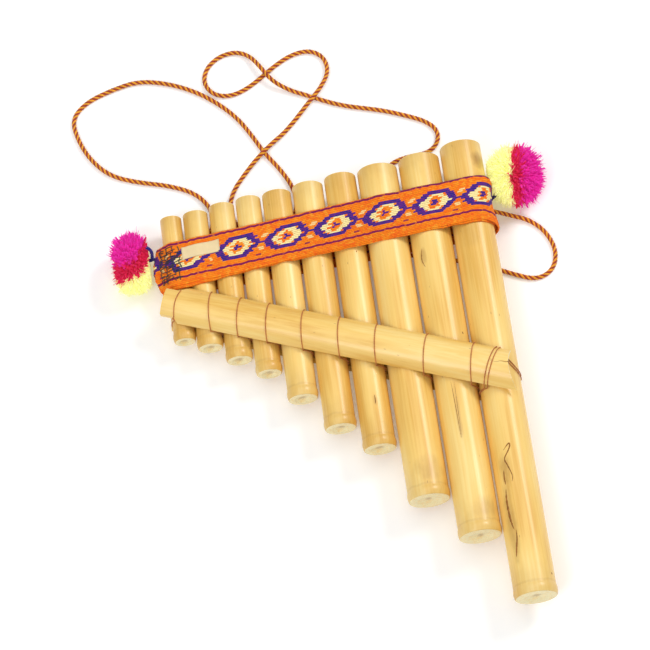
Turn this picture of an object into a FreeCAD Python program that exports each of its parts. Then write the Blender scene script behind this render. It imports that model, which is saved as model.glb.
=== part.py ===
import FreeCAD, Part
import math
import os

# A ten-pipe cane pan flute lying on its back. All sizes are in millimetres.
# +Y runs along the pipes towards their open mouths, +X runs from the shortest pipe to the
# longest one, and +Z points away from the surface that the flute lies on.
# The origin is under the middle of the flute, on that surface, not counting the neck cord.

V = FreeCAD.Vector

# --- pipes: outer diameter, length, y of the mouth, lean of the axis in degrees --------------
PIPES = [
    (10.8, 68.0, 106.2, -0.2),
    (12.6, 74.0, 106.7, 0.1),
    (13.0, 85.0, 108.7, 0.2),
    (12.8, 96.0, 110.2, 0.2),
    (14.8, 112.5, 110.6, 0.1),
    (15.6, 132.5, 112.2, 0.0),
    (16.2, 148.0, 114.0, -0.3),
    (20.4, 178.5, 114.6, -0.5),
    (20.8, 202.5, 116.6, -0.45),
    (20.8, 240.0, 120.0, -0.35),
]
MOUTH_GAP = 0.95          # daylight between neighbours at their mouths
WALL_BASE = 0.9           # wall thickness is WALL_BASE + WALL_SHARE x diameter
WALL_SHARE = 0.048
NODE_DEPTH = 5.0          # closed end, from the end face to the floor of the bore
FLOOR_ROUND = 1.5         # rounding at the floor of the bore
END_ROUND = 0.8           # rounding of the closed end's outer edge
RIM_ROUND = 0.4           # rounding of the mouth's edges
NODE_SWELL = 0.35         # how far the cane's own joint stands proud near the closed end
NODE_TOP = 5.0            # where that swelling ends, from the closed end
DISH_DEPTH = 1.2          # shallow hollow left in the closed end's face
DISH_SHARE = 0.6          # its radius, as a share of the pipe's

# --- braces: two split canes, one on the front and one on the back ---------------------------
BRACE_RADIUS = 10.9       # outer radius of the cane that was split
BRACE_HEIGHT = 6.3        # height of the split strip
BRACE_WALL = 2.3
BRACE_Y = 24.2            # where its centre line crosses x = 0
BRACE_ANGLE = -22.2       # its direction, from +X
BRACE_LEFT = -92.0        # its ends, along its own line from x = 0
BRACE_RIGHT = 92.0
BRACE_END_X = 78.0        # deepest point of the front brace's scooped right end
SCOOP_RADIUS = 22.0
SCOOP_Y = -9.0
TONGUE_LENGTH = 7.0       # the narrowed left end of the front brace
TONGUE_TOP_CUT = 4.0
TONGUE_BOTTOM_CUT = 2.2
SEAT_PLAY = 0.1           # clearance between a brace and the pipes it touches
SEAT_PIPES = (1, 7)       # the two pipes that both braces rest on

# --- lashing threads -------------------------------------------------------------------------
THREAD = 0.6              # thickness of the thread
THREAD_PLAY = 0.12        # clearance between a thread and what it passes
BEAD = 0.03               # how much fuller the thread is where two stretches meet
GROOVE_PLAY = 0.06        # the back brace is grooved, so the threads there lie flush
GROOVE_WIDTH = 0.8
GROOVE_DEPTH = 0.75
# Gap 1 is between pipes 2 and 3, and so on. Each entry says how far beside its gap the
# thread passes the front brace's upper edge and its lower edge.
LASHED_GAPS = {
    1: (-2.4, -5.4),
    2: (-1.9, -6.2),
    3: (-2.0, -6.0),
    4: (-1.4, -4.8),
    5: (-1.0, -4.2),
    6: (-1.0, -4.6),
    7: (1.2, -3.8),
    8: (1.2, -3.4),
}
LEFT_END_XS = (-77.9, -80.6)  # where the left end's turn passes the brace's two edges
RIGHT_END_XS = (75.9, 66.8)   # the same for the first turn of the right end's winding
WINDING_STEP = 1.6        # spacing of that winding's two turns
KNOT_RADIUS = 0.8         # the knot at the left end, and how far it stands off the brace
KNOT_OFF = V(0, -0.45, 0.5)

# --- woven band and what is sewn to it -------------------------------------------------------
BAND_WIDTH = 24.2
BAND_THICKNESS = 1.0
BAND_PLAY = 0.15
BAND_Y = 82.4             # its centre line at x = 0
BAND_ANGLE = 2.7
BAND_NOTCH = (-76.9, 68.0)  # its lower left corner is turned back from the lashing there: x, y
BAND_END = (-84.9, 11.9, 1.4)  # x, z and inner radius of the flattened fold at its left end
LABEL_SIZE = (19.5, 6.6, 0.3)
LABEL_AT = (-64.3, 4.6)   # its middle: x, and distance above the band's centre line
STITCH = 0.6              # thickness of the closing stitches
STITCH_COLUMNS = (-84.6, -82.2, -79.8, -77.4)
STITCH_ROWS = (-7.5, -2.5, 2.5, 7.5)

# --- pompoms: middle, radius, point of the tie on the band, direction from yellow to magenta --
POMPOMS = {
    "left": (V(-101.0, 84.0, 11.6), 11.6, V(-88.5, 86.0, 11.6), V(-0.1, 0.55, 0.83)),
    "right": (V(99.8, 101.0, 12.8), 12.8, V(84.9, 92.0, 12.8), V(0.95, -0.1, 0.3)),
}
TIE_RADIUS = 0.9
TIE_CORE = 2.6
TIE_KNOT = 0.7            # radius of the knot on the band, which the pompom turns about
TIE_KNOT_HEIGHT = 1.8
TIE_CLEARANCE = 0.4       # between the knot on the band and the tie that turns about it

# --- neck cord -------------------------------------------------------------------------------
CORD = 2.4
# Its route: from the band's right side, over the surface, and back to the band's left back.
CORD_ROUTE = [
    (82.8, 86.4, 11.6), (88.0, 86.2, 8.1), (94.2, 85.5, 3.4), (102.0, 83.4, 1.2),
    (109.6, 76.0, 1.2), (113.6, 64.6, 1.2), (110.8, 54.0, 1.2), (101.6, 49.6, 1.2),
    (91.0, 54.0, 1.2), (77.0, 61.4, 1.2), (60.0, 67.4, 1.2), (42.0, 71.4, 1.2),
    (29.0, 80.0, 1.2), (22.0, 93.0, 1.2), (23.0, 107.0, 1.2), (30.0, 119.0, 1.2),
    (39.0, 126.4, 1.2), (49.0, 128.2, 1.2), (57.0, 128.4, 1.2), (63.0, 133.0, 1.2),
    (64.0, 140.6, 1.2), (58.8, 146.6, 1.2), (49.8, 151.2, 1.2), (38.0, 156.2, 1.2),
    (26.6, 159.6, 1.2), (17.0, 162.6, 1.2), (8.0, 166.8, 1.2), (-0.8, 171.6, 1.2),
    (-9.0, 175.4, 1.8), (-17.4, 181.2, 4.0), (-23.0, 191.6, 4.0), (-27.6, 199.2, 1.8),
    (-34.6, 202.8, 1.2), (-43.6, 201.2, 1.2), (-50.6, 195.4, 1.2),
    (-53.0, 187.4, 1.2), (-49.6, 180.4, 1.2), (-42.6, 177.2, 1.2), (-34.6, 178.4, 1.2),
    (-26.0, 183.0, 1.2), (-15.6, 190.8, 1.2), (-5.4, 196.4, 1.2), (4.4, 197.4, 1.2),
    (11.2, 192.4, 1.2), (12.6, 183.4, 1.8), (8.2, 174.2, 4.0), (-0.8, 164.8, 4.0),
    (-8.4, 157.4, 1.8), (-15.4, 150.6, 1.8), (-22.0, 145.0, 4.0), (-30.6, 137.6, 4.0),
    (-38.0, 130.6, 1.8), (-44.4, 123.0, 1.2), (-47.8, 113.8, 1.2), (-46.0, 103.4, 1.2),
    (-38.6, 96.0, 1.2), (-27.8, 94.2, 1.2), (-18.0, 99.0, 1.2), (-13.0, 108.6, 1.2),
    (-13.8, 120.0, 1.2), (-19.4, 131.4, 1.2), (-26.2, 141.6, 1.2), (-31.4, 152.6, 1.2),
    (-37.8, 164.0, 1.2), (-46.8, 174.0, 1.2), (-58.0, 183.0, 1.2), (-72.0, 190.0, 1.2),
    (-87.0, 193.6, 1.2), (-101.0, 190.6, 1.2), (-115.0, 185.6, 1.2), (-123.4, 177.0, 1.2),
    (-121.6, 164.6, 1.2), (-116.0, 151.6, 1.2), (-106.6, 141.0, 1.2), (-93.0, 135.2, 1.2),
    (-77.6, 131.0, 1.2), (-64.6, 124.8, 1.2), (-57.2, 115.4, 1.2), (-56.8, 104.6, 1.2),
    (-62.4, 95.6, 1.2), (-69.4, 89.6, 2.0), (-76.6, 86.6, 3.9),
]
LEAST_CORD_RADIUS = 3.0 * CORD
ARC_SHARE = 0.45


def turn(shape, axis, degrees, about=V(0, 0, 0)):
    turned = shape.copy()
    turned.rotate(about, axis, degrees)
    return turned


def arc(a, b, c):
    return Part.Arc(a, b, c).toShape()


def line(a, b):
    return Part.makeLine(a, b)


def rod(start, end, radius):
    run = end - start
    return Part.makeCylinder(radius, run.Length, start, run)


def fused(shapes):
    whole = shapes[0].multiFuse(shapes[1:])
    return whole.removeSplitter()


# --- where things are --------------------------------------------------------------------------
def radius(i):
    return PIPES[i][0] / 2


def mouth_xs():
    xs = [0.0]
    for i in range(1, len(PIPES)):
        xs.append(xs[-1] + radius(i - 1) + MOUTH_GAP + radius(i))
    left = -radius(0)
    right = xs[-1] + radius(len(PIPES) - 1)
    return [x - (left + right) / 2 for x in xs]


MOUTH_X = mouth_xs()


def axis_x(i, y):
    return MOUTH_X[i] + math.tan(math.radians(PIPES[i][3])) * (y - PIPES[i][2])


def brace_y(x):
    return BRACE_Y + math.tan(math.radians(BRACE_ANGLE)) * x


def crossing_x(i):
    x = MOUTH_X[i]
    for _ in range(3):
        x = axis_x(i, brace_y(x))
    return x


LOW, HIGH = SEAT_PIPES
SEAT_SLOPE = (radius(HIGH) - radius(LOW)) / (crossing_x(HIGH) - crossing_x(LOW))


def half_depth(x):
    """Half the distance between the planes that the two braces rest on."""
    return radius(LOW) + SEAT_PLAY + SEAT_SLOPE * (x - crossing_x(LOW))


def back_seat():
    """Height of the plane that the back brace holds the pipes at."""
    return BRACE_HEIGHT + SEAT_PLAY


def mid_z(x):
    return back_seat() + half_depth(x)


def front_seat(x):
    return back_seat() + 2 * half_depth(x)


FRONT_TILT = math.degrees(math.atan(2 * SEAT_SLOPE))


def wall(i):
    return WALL_BASE + WALL_SHARE * PIPES[i][0]


def gap_x(i, y):
    """Middle of the gap between pipe i and the next one, at y."""
    return (axis_x(i, y) + radius(i) + axis_x(i + 1, y) - radius(i + 1)) / 2


# --- pipes ---------------------------------------------------------------------------------------
def pipe_profile(i):
    outer = radius(i)
    length = PIPES[i][1]
    inner = outer - wall(i)
    s = math.sqrt(0.5)
    rim = RIM_ROUND
    end = END_ROUND
    dish = DISH_SHARE * outer
    floor = NODE_DEPTH
    swell_mid = (END_ROUND + NODE_TOP) / 2
    edges = [
        arc(V(0, DISH_DEPTH, 0), V(dish * 0.5, DISH_DEPTH * 0.75, 0), V(dish, 0, 0)),
        line(V(dish, 0, 0), V(outer - end, 0, 0)),
        arc(V(outer - end, 0, 0), V(outer - end + end * s, end - end * s, 0), V(outer, end, 0)),
        arc(V(outer, end, 0), V(outer + NODE_SWELL, swell_mid, 0), V(outer, NODE_TOP, 0)),
        line(V(outer, NODE_TOP, 0), V(outer, length - rim, 0)),
        arc(V(outer, length - rim, 0), V(outer - rim + rim * s, length - rim + rim * s, 0),
            V(outer - rim, length, 0)),
        line(V(outer - rim, length, 0), V(inner + rim, length, 0)),
        arc(V(inner + rim, length, 0), V(inner + rim - rim * s, length - rim + rim * s, 0),
            V(inner, length - rim, 0)),
        line(V(inner, length - rim, 0), V(inner, floor + FLOOR_ROUND, 0)),
        arc(V(inner, floor + FLOOR_ROUND, 0),
            V(inner - FLOOR_ROUND + FLOOR_ROUND * s, floor + FLOOR_ROUND - FLOOR_ROUND * s, 0),
            V(inner - FLOOR_ROUND, floor, 0)),
        line(V(inner - FLOOR_ROUND, floor, 0), V(0, floor, 0)),
        line(V(0, floor, 0), V(0, DISH_DEPTH, 0)),
    ]
    return Part.Face(Part.Wire(edges))


def pipe(i):
    _, length, mouth_y, lean = PIPES[i]
    solid = pipe_profile(i).revolve(V(0, 0, 0), V(0, 1, 0), 360)
    solid.translate(V(MOUTH_X[i], mouth_y - length, mid_z(crossing_x(i))))
    mouth = V(MOUTH_X[i], mouth_y, 0)
    return turn(solid, V(0, 0, 1), -lean, mouth)


# --- braces --------------------------------------------------------------------------------------
def brace_strip():
    """A split cane along +X, flat side down on z = 0."""
    centre = BRACE_HEIGHT - BRACE_RADIUS
    inner = BRACE_RADIUS - BRACE_WALL
    outer_half = math.sqrt(BRACE_RADIUS ** 2 - centre ** 2)
    inner_half = math.sqrt(inner ** 2 - centre ** 2)
    x = BRACE_LEFT
    edges = [
        arc(V(x, -outer_half, 0), V(x, 0, BRACE_HEIGHT), V(x, outer_half, 0)),
        line(V(x, outer_half, 0), V(x, inner_half, 0)),
        arc(V(x, inner_half, 0), V(x, 0, BRACE_HEIGHT - BRACE_WALL), V(x, -inner_half, 0)),
        line(V(x, -inner_half, 0), V(x, -outer_half, 0)),
    ]
    strip = Part.Face(Part.Wire(edges)).extrude(V(BRACE_RIGHT - BRACE_LEFT, 0, 0))
    return strip, outer_half


def corner_cut(side, depth, half):
    """What is whittled from one edge of the front brace's left end."""
    y_edge = side * (half + 1)
    y_cut = side * (half - depth)
    tip = BRACE_LEFT - 1
    shoulder = BRACE_LEFT + TONGUE_LENGTH
    outline = [V(tip, y_edge, -1), V(tip, y_cut, -1), V(shoulder, y_cut, -1),
               V(shoulder + depth + 1, y_edge, -1), V(tip, y_edge, -1)]
    return Part.Face(Part.makePolygon(outline)).extrude(V(0, 0, BRACE_HEIGHT + 2))


def front_placement():
    place = FreeCAD.Placement()
    tilt = FreeCAD.Rotation(V(0, 1, 0), -FRONT_TILT)
    swing = FreeCAD.Rotation(V(0, 0, 1), BRACE_ANGLE)
    place.Rotation = tilt * swing
    place.Base = V(0, BRACE_Y, front_seat(0) + SEAT_PLAY)
    return place


def front_brace():
    strip, half = brace_strip()
    strip = strip.cut(corner_cut(1, TONGUE_TOP_CUT, half))
    strip = strip.cut(corner_cut(-1, TONGUE_BOTTOM_CUT, half))
    strip.Placement = front_placement()
    scoop_x = BRACE_END_X + SCOOP_RADIUS
    scoop = Part.makeCylinder(SCOOP_RADIUS, 80, V(scoop_x, SCOOP_Y, -10))
    beyond = Part.makeBox(60, 120, 80, V(scoop_x - SCOOP_RADIUS / 2, SCOOP_Y - 60, -10))
    return strip.cut(scoop.fuse(beyond))


def groove(top, low):
    """A slot of even depth across the back brace's round side, from top to low."""
    run = V(top.x - low.x, top.y - low.y, 0)
    slot = Part.makeBox(2 * run.Length, GROOVE_WIDTH, back_seat() + 2,
                        V(-run.Length, -GROOVE_WIDTH / 2, -1))
    slot.rotate(V(0, 0, 0), V(0, 0, 1), math.degrees(math.atan2(run.y, run.x)))
    slot.translate(V((top.x + low.x) / 2, (top.y + low.y) / 2, 0))
    along = V(1, math.tan(math.radians(BRACE_ANGLE)), 0)
    core = Part.makeCylinder(BRACE_RADIUS - GROOVE_DEPTH, 400,
                             V(0, BRACE_Y, BRACE_RADIUS) - along * 200, along)
    return slot.cut(core)


def back_brace():
    strip, _ = brace_strip()
    strip.rotate(V(0, 0, 0), V(1, 0, 0), 180)
    strip.rotate(V(0, 0, 0), V(0, 0, 1), BRACE_ANGLE)
    strip.translate(V(0, BRACE_Y, back_seat() - SEAT_PLAY))
    limit = Part.makeBox(2 * BRACE_END_X + 8, 300, 60, V(-BRACE_END_X - 6, -150, -10))
    strip = strip.common(limit)
    return strip.cut([groove(top, low) for top, low in THREAD_PATHS])


# --- lashings ------------------------------------------------------------------------------------
def arc_thread(start, over, end, size):
    """A stretch of thread bent along the arc from start over a point to end."""
    edge = arc(start, over, end)
    centre = edge.Curve.Center
    normal = (over - start).cross(end - over)
    normal.normalize()
    swept = math.degrees(edge.Length / edge.Curve.Radius)
    tangent = normal.cross(start - centre)
    disc = Part.Face(Part.Wire([Part.makeCircle(size / 2, start, tangent)]))
    return disc.revolve(centre, normal, swept)


def thread_run(points, size):
    """A thread through points; a pair in a tuple is an arc over the first to the second."""
    solids = []
    last = points[0]
    for step in points[1:]:
        if isinstance(step, tuple):
            over, end = step
            solids.append(arc_thread(last, over, end, size))
        else:
            end = step
            solids.append(rod(last, end, size / 2))
        solids.append(Part.makeSphere(size / 2 + BEAD, end))
        last = end
    return fused(solids)


def brace_edge(x, side):
    """Where a thread at x passes the upper (1) or lower (-1) edge of the braces: its y."""
    half = math.sqrt(BRACE_RADIUS ** 2 - (BRACE_HEIGHT - BRACE_RADIUS) ** 2)
    reach = half + THREAD / 2 + THREAD_PLAY
    return brace_y(x) + side * reach / math.cos(math.radians(BRACE_ANGLE))


def round_pipe(i, side, x, y):
    """Round the outer side of pipe i, from front to back, starting and ending at x."""
    middle_x = axis_x(i, y)
    middle_z = mid_z(crossing_x(i))
    reach = radius(i) + THREAD / 2 + THREAD_PLAY
    rise = math.sqrt(reach ** 2 - (x - middle_x) ** 2)
    return [V(x, y, middle_z + rise),
            (V(middle_x + side * reach, y, middle_z), V(x, y, middle_z - rise))]


def reverse(steps):
    """The same two steps, taken from back to front."""
    start, (middle, end) = steps
    return [end, (middle, start)]


THREAD_PATHS = []  # where each turn passes the braces' upper and lower edges


def closed_turn(top_x, low_x, top_side, low_side):
    """One closed turn round both braces: over the front, down low_side, under, up top_side.

    Each side is (pipe, +1 or -1): the pipe's flank that the thread hugs on its way through."""
    over = BRACE_HEIGHT + THREAD / 2 + THREAD_PLAY + SEAT_PLAY
    under = BRACE_HEIGHT + SEAT_PLAY - THREAD / 2 - GROOVE_PLAY
    top_y = brace_edge(top_x, 1)
    low_y = brace_edge(low_x, -1)
    mid_x = (top_x + low_x) / 2
    mid_y = (top_y + low_y) / 2
    first = V(top_x, top_y, front_seat(top_x))
    points = [first, (V(mid_x, mid_y, front_seat(mid_x) + over),
                      V(low_x, low_y, front_seat(low_x)))]
    points += round_pipe(*low_side, low_x, low_y)
    points += [V(low_x, low_y, back_seat()),
               (V(mid_x, mid_y, back_seat() - under), V(top_x, top_y, back_seat()))]
    points += reverse(round_pipe(*top_side, top_x, top_y))
    points.append(first)
    THREAD_PATHS.append((V(top_x, top_y, 0), V(low_x, low_y, 0)))
    return thread_run(points, THREAD)


def flank(i, x, y):
    """Which pipe's flank a thread follows into gap i when it leaves the brace's edge at x."""
    if x < gap_x(i, y):
        return i, 1
    return i + 1, -1


def gap_lashing(i):
    top_shift, low_shift = LASHED_GAPS[i]
    near = brace_y(MOUTH_X[i] + radius(i))
    top_x = gap_x(i, near) + top_shift
    low_x = gap_x(i, near) + low_shift
    return closed_turn(top_x, low_x, flank(i, top_x, near), flank(i, low_x, near))


def left_end_lashing():
    top_x, low_x = LEFT_END_XS
    edge = V(low_x, brace_edge(low_x, -1), front_seat(low_x))
    knot = Part.makeSphere(KNOT_RADIUS, edge + KNOT_OFF)
    return fused([closed_turn(top_x, low_x, (0, -1), (0, -1)), knot])


def right_end_winding():
    """Two slanting turns side by side, round the last pipe's outer side and its inner gap."""
    last = len(PIPES) - 1
    top_x, low_x = RIGHT_END_XS
    turns = []
    for k in (0, 1):
        shift = k * WINDING_STEP
        turns.append(closed_turn(top_x - shift, low_x - shift, (last, 1), (last, -1)))
    return fused(turns)


# --- band ----------------------------------------------------------------------------------------
def hull_circles(grow):
    """The pipes' sections at the band, and its folded left end, as (x, z, r) circles."""
    circles = [(BAND_END[0], BAND_END[1], BAND_END[2] + grow)]
    for i in range(len(PIPES)):
        x = axis_x(i, BAND_Y)
        circles.append((x, mid_z(crossing_x(i)), radius(i) + BAND_PLAY + grow))
    return circles


def tangent_points(a, b, side):
    """Ends of the common outer tangent of two circles, on the side +1 (front) or -1 (back)."""
    dx = b[0] - a[0]
    dz = b[1] - a[1]
    span = math.hypot(dx, dz)
    heading = math.atan2(dz, dx)
    lean = math.acos((a[2] - b[2]) / span)
    direction = heading + side * lean
    ux = math.cos(direction)
    uz = math.sin(direction)
    return (a[0] + a[2] * ux, a[1] + a[2] * uz), (b[0] + b[2] * ux, b[1] + b[2] * uz)


def covers(a, b, c, side):
    """Whether the tangent from a to c passes outside circle b."""
    p, q = tangent_points(a, c, side)
    nx = -(q[1] - p[1])
    nz = q[0] - p[0]
    size = math.hypot(nx, nz)
    distance = ((b[0] - p[0]) * nx + (b[1] - p[1]) * nz) / size * side
    return distance + b[2] <= 0


def taut_side(circles, side):
    kept = []
    for circle in circles:
        while len(kept) > 1 and covers(kept[-2], kept[-1], circle, side):
            kept.pop()
        kept.append(circle)
    return kept


def taut_loop(grow):
    """The face inside a loop drawn tight round all the circles, in the plane y = 0."""
    circles = hull_circles(grow)
    front = taut_side(circles, 1)
    back = taut_side(circles, -1)
    order = [(c, 1) for c in front] + [(c, -1) for c in reversed(back)]
    stops = []
    for (a, side), (b, _) in zip(order, order[1:] + order[:1]):
        if a is b:
            continue
        if side == 1:
            p, q = tangent_points(a, b, 1)
        else:
            q, p = tangent_points(b, a, -1)
        stops.append((a, b, V(p[0], 0, p[1]), V(q[0], 0, q[1])))
    edges = []
    for k, (a, b, p, q) in enumerate(stops):
        following = stops[(k + 1) % len(stops)][2]
        edges.append(line(p, q))
        middle = V(b[0], 0, b[1])
        out = (q - middle) + (following - middle)
        if out.Length < 0.2 * b[2]:
            out = V(1, 0, 0) if b[0] > 0 else V(-1, 0, 0)
        if b is circles[0]:
            out = V(-1, 0, 0)
        if b is circles[-1]:
            out = V(1, 0, 0)
        out.normalize()
        edges.append(arc(q, middle + out * b[2], following))
    return Part.Face(Part.Wire(edges))


def band_slab(width):
    """An endless upright slab along the band's line, width wide."""
    slab = Part.makeBox(400, width, 200, V(-200, -width / 2, -50))
    slab.rotate(V(0, 0, 0), V(0, 0, 1), BAND_ANGLE)
    slab.translate(V(0, BAND_Y, 0))
    return slab


def woven_band():
    outer = taut_loop(BAND_THICKNESS)
    inner = taut_loop(0.0)
    tube = outer.cut(inner).extrude(V(0, 120, 0))
    tube.translate(V(0, BAND_Y - 60, 0))
    notch_x, notch_y = BAND_NOTCH
    notch = Part.makeBox(100, 20, 100, V(notch_x - 100, notch_y - 20, -10))
    return tube.common(band_slab(BAND_WIDTH)).cut(notch)


def band_front_z(x):
    """Height of the band's front face at x."""
    front = taut_side(hull_circles(BAND_THICKNESS), 1)
    for a, b in zip(front, front[1:]):
        p, q = tangent_points(a, b, 1)
        if p[0] <= x <= q[0]:
            return p[1] + (q[1] - p[1]) * (x - p[0]) / (q[0] - p[0])
    return max(c[1] + math.sqrt(c[2] ** 2 - (x - c[0]) ** 2)
               for c in front if abs(x - c[0]) <= c[2])


def band_label():
    length, width, thickness = LABEL_SIZE
    plate = Part.makeBox(length, width, thickness, V(-length / 2, -width / 2, 0))
    plate = plate.makeFillet(0.8, [e for e in plate.Edges if e.tangentAt(0).z ** 2 > 0.9])
    plate.rotate(V(0, 0, 0), V(0, 1, 0), -FRONT_TILT)
    plate.rotate(V(0, 0, 0), V(0, 0, 1), BAND_ANGLE)
    x, above = LABEL_AT
    y = BAND_Y + math.tan(math.radians(BAND_ANGLE)) * x + above
    highest = max(band_front_z(x + s * length / 2) - s * length / 2 * math.tan(
        math.radians(FRONT_TILT)) for s in (-1, 0, 1))
    plate.translate(V(x, y, highest + 0.1))
    return plate


def band_stitching():
    """A net of separate stitches laid over the band where its two ends overlap."""
    stitches = []
    for k, x in enumerate(STITCH_COLUMNS):
        for row in STITCH_ROWS:
            y = BAND_Y + math.tan(math.radians(BAND_ANGLE)) * x + row
            rise = STITCH / 2 + 0.12
            slant = 0.8 if k % 2 else -0.8
            start = V(x - slant, y - 1.9, band_front_z(x - slant) + rise)
            end = V(x + slant, y + 1.9, band_front_z(x + slant) + rise)
            caps = [Part.makeSphere(STITCH / 2, start), Part.makeSphere(STITCH / 2, end)]
            stitches.append(fused([rod(start, end, STITCH / 2)] + caps))
    return Part.makeCompound(stitches)


# --- pompoms -------------------------------------------------------------------------------------
def pompom(side):
    middle, size, hinge, colour_axis = POMPOMS[side]
    inward = (hinge - middle).normalize()
    reach = (hinge - middle).Length - TIE_KNOT - TIE_CLEARANCE
    tie = Part.makeSphere(TIE_CORE, middle).fuse(
        rod(middle, middle + inward * reach, TIE_RADIUS)).removeSplitter()
    ball = Part.makeSphere(size, middle)
    block = Part.makeBox(4 * size, 4 * size, 2 * size, V(-2 * size, -2 * size, 0))
    block.Placement = FreeCAD.Placement(middle, FreeCAD.Rotation(V(0, 0, 1), colour_axis))
    magenta = ball.common(block).cut(tie)
    yellow = ball.cut(block).cut(tie)
    foot = hinge - V(0, 0, TIE_KNOT_HEIGHT / 2)
    knot = Part.makeCylinder(TIE_KNOT, TIE_KNOT_HEIGHT, foot)
    return {
        side + "_pompom_magenta": magenta,
        side + "_pompom_yellow": yellow,
        side + "_pompom_tie": tie,
        side + "_pompom_knot": knot,
    }


# --- neck cord -----------------------------------------------------------------------------------
def rounded_route(points):
    """Straight runs joined by tangent arcs; returns the wire and the arcs' radii."""
    places = [V(*p) for p in points]
    edges = []
    radii = []
    last = places[0]
    for before, here, after in zip(places, places[1:], places[2:]):
        back = before - here
        ahead = after - here
        shorter = min(back.Length, ahead.Length)
        bend = math.pi - back.getAngle(ahead)
        cut = ARC_SHARE * shorter
        arc_radius = cut / math.tan(bend / 2)
        back.normalize()
        ahead.normalize()
        start = here + back * cut
        end = here + ahead * cut
        inward = back + ahead
        inward.normalize()
        centre_distance = math.hypot(cut, arc_radius)
        middle = here + inward * (centre_distance - arc_radius)
        edges.append(line(last, start))
        edges.append(arc(start, middle, end))
        radii.append(arc_radius)
        last = end
    edges.append(line(last, places[-1]))
    return Part.Wire(edges), radii


def strap_cord():
    path, radii = rounded_route(CORD_ROUTE)
    start = V(*CORD_ROUTE[0])
    heading = V(*CORD_ROUTE[1]) - start
    ring = Part.Wire([Part.makeCircle(CORD / 2, start, heading)])
    tube = path.makePipeShell([ring], True, True)
    report_cord(path, radii, tube)
    return tube


def report_cord(path, radii, tube):
    section = math.pi * CORD ** 2 / 4
    print("cord length", round(path.Length, 1), "volume / (section x length)",
          round(tube.Volume / (section * path.Length), 4))
    print("cord radii", [round(r, 1) for r in radii])
    tight = [k + 1 for k, r in enumerate(radii) if r < LEAST_CORD_RADIUS]
    print("cord points under the least radius", tight)
    print("cord lowest", round(tube.optimalBoundingBox().ZMin, 2))


# --- all nodes -----------------------------------------------------------------------------------
def main():
    os.makedirs("parts", exist_ok=True)
    nodes = {}
    for i in range(len(PIPES)):
        nodes["pipe_%02d" % (i + 1)] = pipe(i)
    nodes["front_brace"] = front_brace()
    nodes["lashing_left_end"] = left_end_lashing()
    nodes["lashing_right_end"] = right_end_winding()
    for i in LASHED_GAPS:
        nodes["lashing_%02d_%02d" % (i + 1, i + 2)] = gap_lashing(i)
    nodes["back_brace"] = back_brace()
    nodes["woven_band"] = woven_band()
    nodes["band_label"] = band_label()
    nodes["band_stitching"] = band_stitching()
    for side in POMPOMS:
        nodes.update(pompom(side))
    nodes["strap_cord"] = strap_cord()
    for name, shape in nodes.items():
        shape.exportStep("parts/" + name + ".step")
        box = shape.optimalBoundingBox()
        print("%-24s %d solids valid %s volume %9.1f x %.1f..%.1f y %.1f..%.1f z %.2f..%.2f" % (
            name, len(shape.Solids), shape.isValid(), shape.Volume,
            box.XMin, box.XMax, box.YMin, box.YMax, box.ZMin, box.ZMax))


main()
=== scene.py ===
import bmesh
import bpy
import itertools
import math
import random
from bpy.props import FloatProperty, FloatVectorProperty, IntProperty, PointerProperty
from mathutils import Matrix, Vector, noise
from mathutils.geometry import convex_hull_2d


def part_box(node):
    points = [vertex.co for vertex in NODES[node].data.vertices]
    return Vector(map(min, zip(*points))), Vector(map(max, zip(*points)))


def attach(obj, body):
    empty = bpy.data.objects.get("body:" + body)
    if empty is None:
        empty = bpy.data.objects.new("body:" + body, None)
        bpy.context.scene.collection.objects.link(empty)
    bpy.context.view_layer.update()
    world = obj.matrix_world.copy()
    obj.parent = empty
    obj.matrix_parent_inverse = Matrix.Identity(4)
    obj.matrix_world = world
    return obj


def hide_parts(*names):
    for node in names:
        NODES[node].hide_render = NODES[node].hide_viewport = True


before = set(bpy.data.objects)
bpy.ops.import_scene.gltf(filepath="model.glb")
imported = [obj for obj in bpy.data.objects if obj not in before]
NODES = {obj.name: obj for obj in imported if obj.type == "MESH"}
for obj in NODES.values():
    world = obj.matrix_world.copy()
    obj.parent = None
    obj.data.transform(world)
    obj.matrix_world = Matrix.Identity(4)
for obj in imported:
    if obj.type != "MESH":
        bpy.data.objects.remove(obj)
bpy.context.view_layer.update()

bl_info = {
    "name": "Cane Pan Flute",
    "version": (1, 0, 0),
    "blender": (4, 5, 0),
    "location": "3D View > Sidebar > Pan Flute",
    "description": "Finishes a ten-pipe cane flute: cane, thread, woven band, yarn and neck cord",
    "category": "Object",
}

# --- where things are, in metres -------------------------------------------------------------
MM = 0.001
PIPE_COUNT = 10
WALL_BASE = 0.9 * MM          # the cane's wall is WALL_BASE + WALL_SHARE x diameter
WALL_SHARE = 0.048

BRACE_RADIUS = 10.9 * MM      # outer radius of the cane that the braces were split from
BRACE_HEIGHT = 6.3 * MM
BRACE_Y = 24.2 * MM           # where the braces' centre line crosses x = 0
BRACE_ANGLE = math.radians(-22.2)
# Past these x, in millimetres, the back brace shows its sawn ends.
BACK_BRACE_ENDS = (-83.9, 79.9)
SCOOP_CENTRE = Vector((100.0 * MM, -9.0 * MM))
SCOOP_RADIUS = 22.0 * MM
SEAT_PLAY = 0.1 * MM
SEAT_PIPES = (2, 8)           # the pipes that both braces rest on

THREAD = 0.6 * MM
THREAD_PLAY = 0.12 * MM
THREAD_STEP = 0.28 * MM       # how finely a thread's way is followed
ARC_STEPS = 24
GROOVE_PLAY = 0.06 * MM
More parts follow.
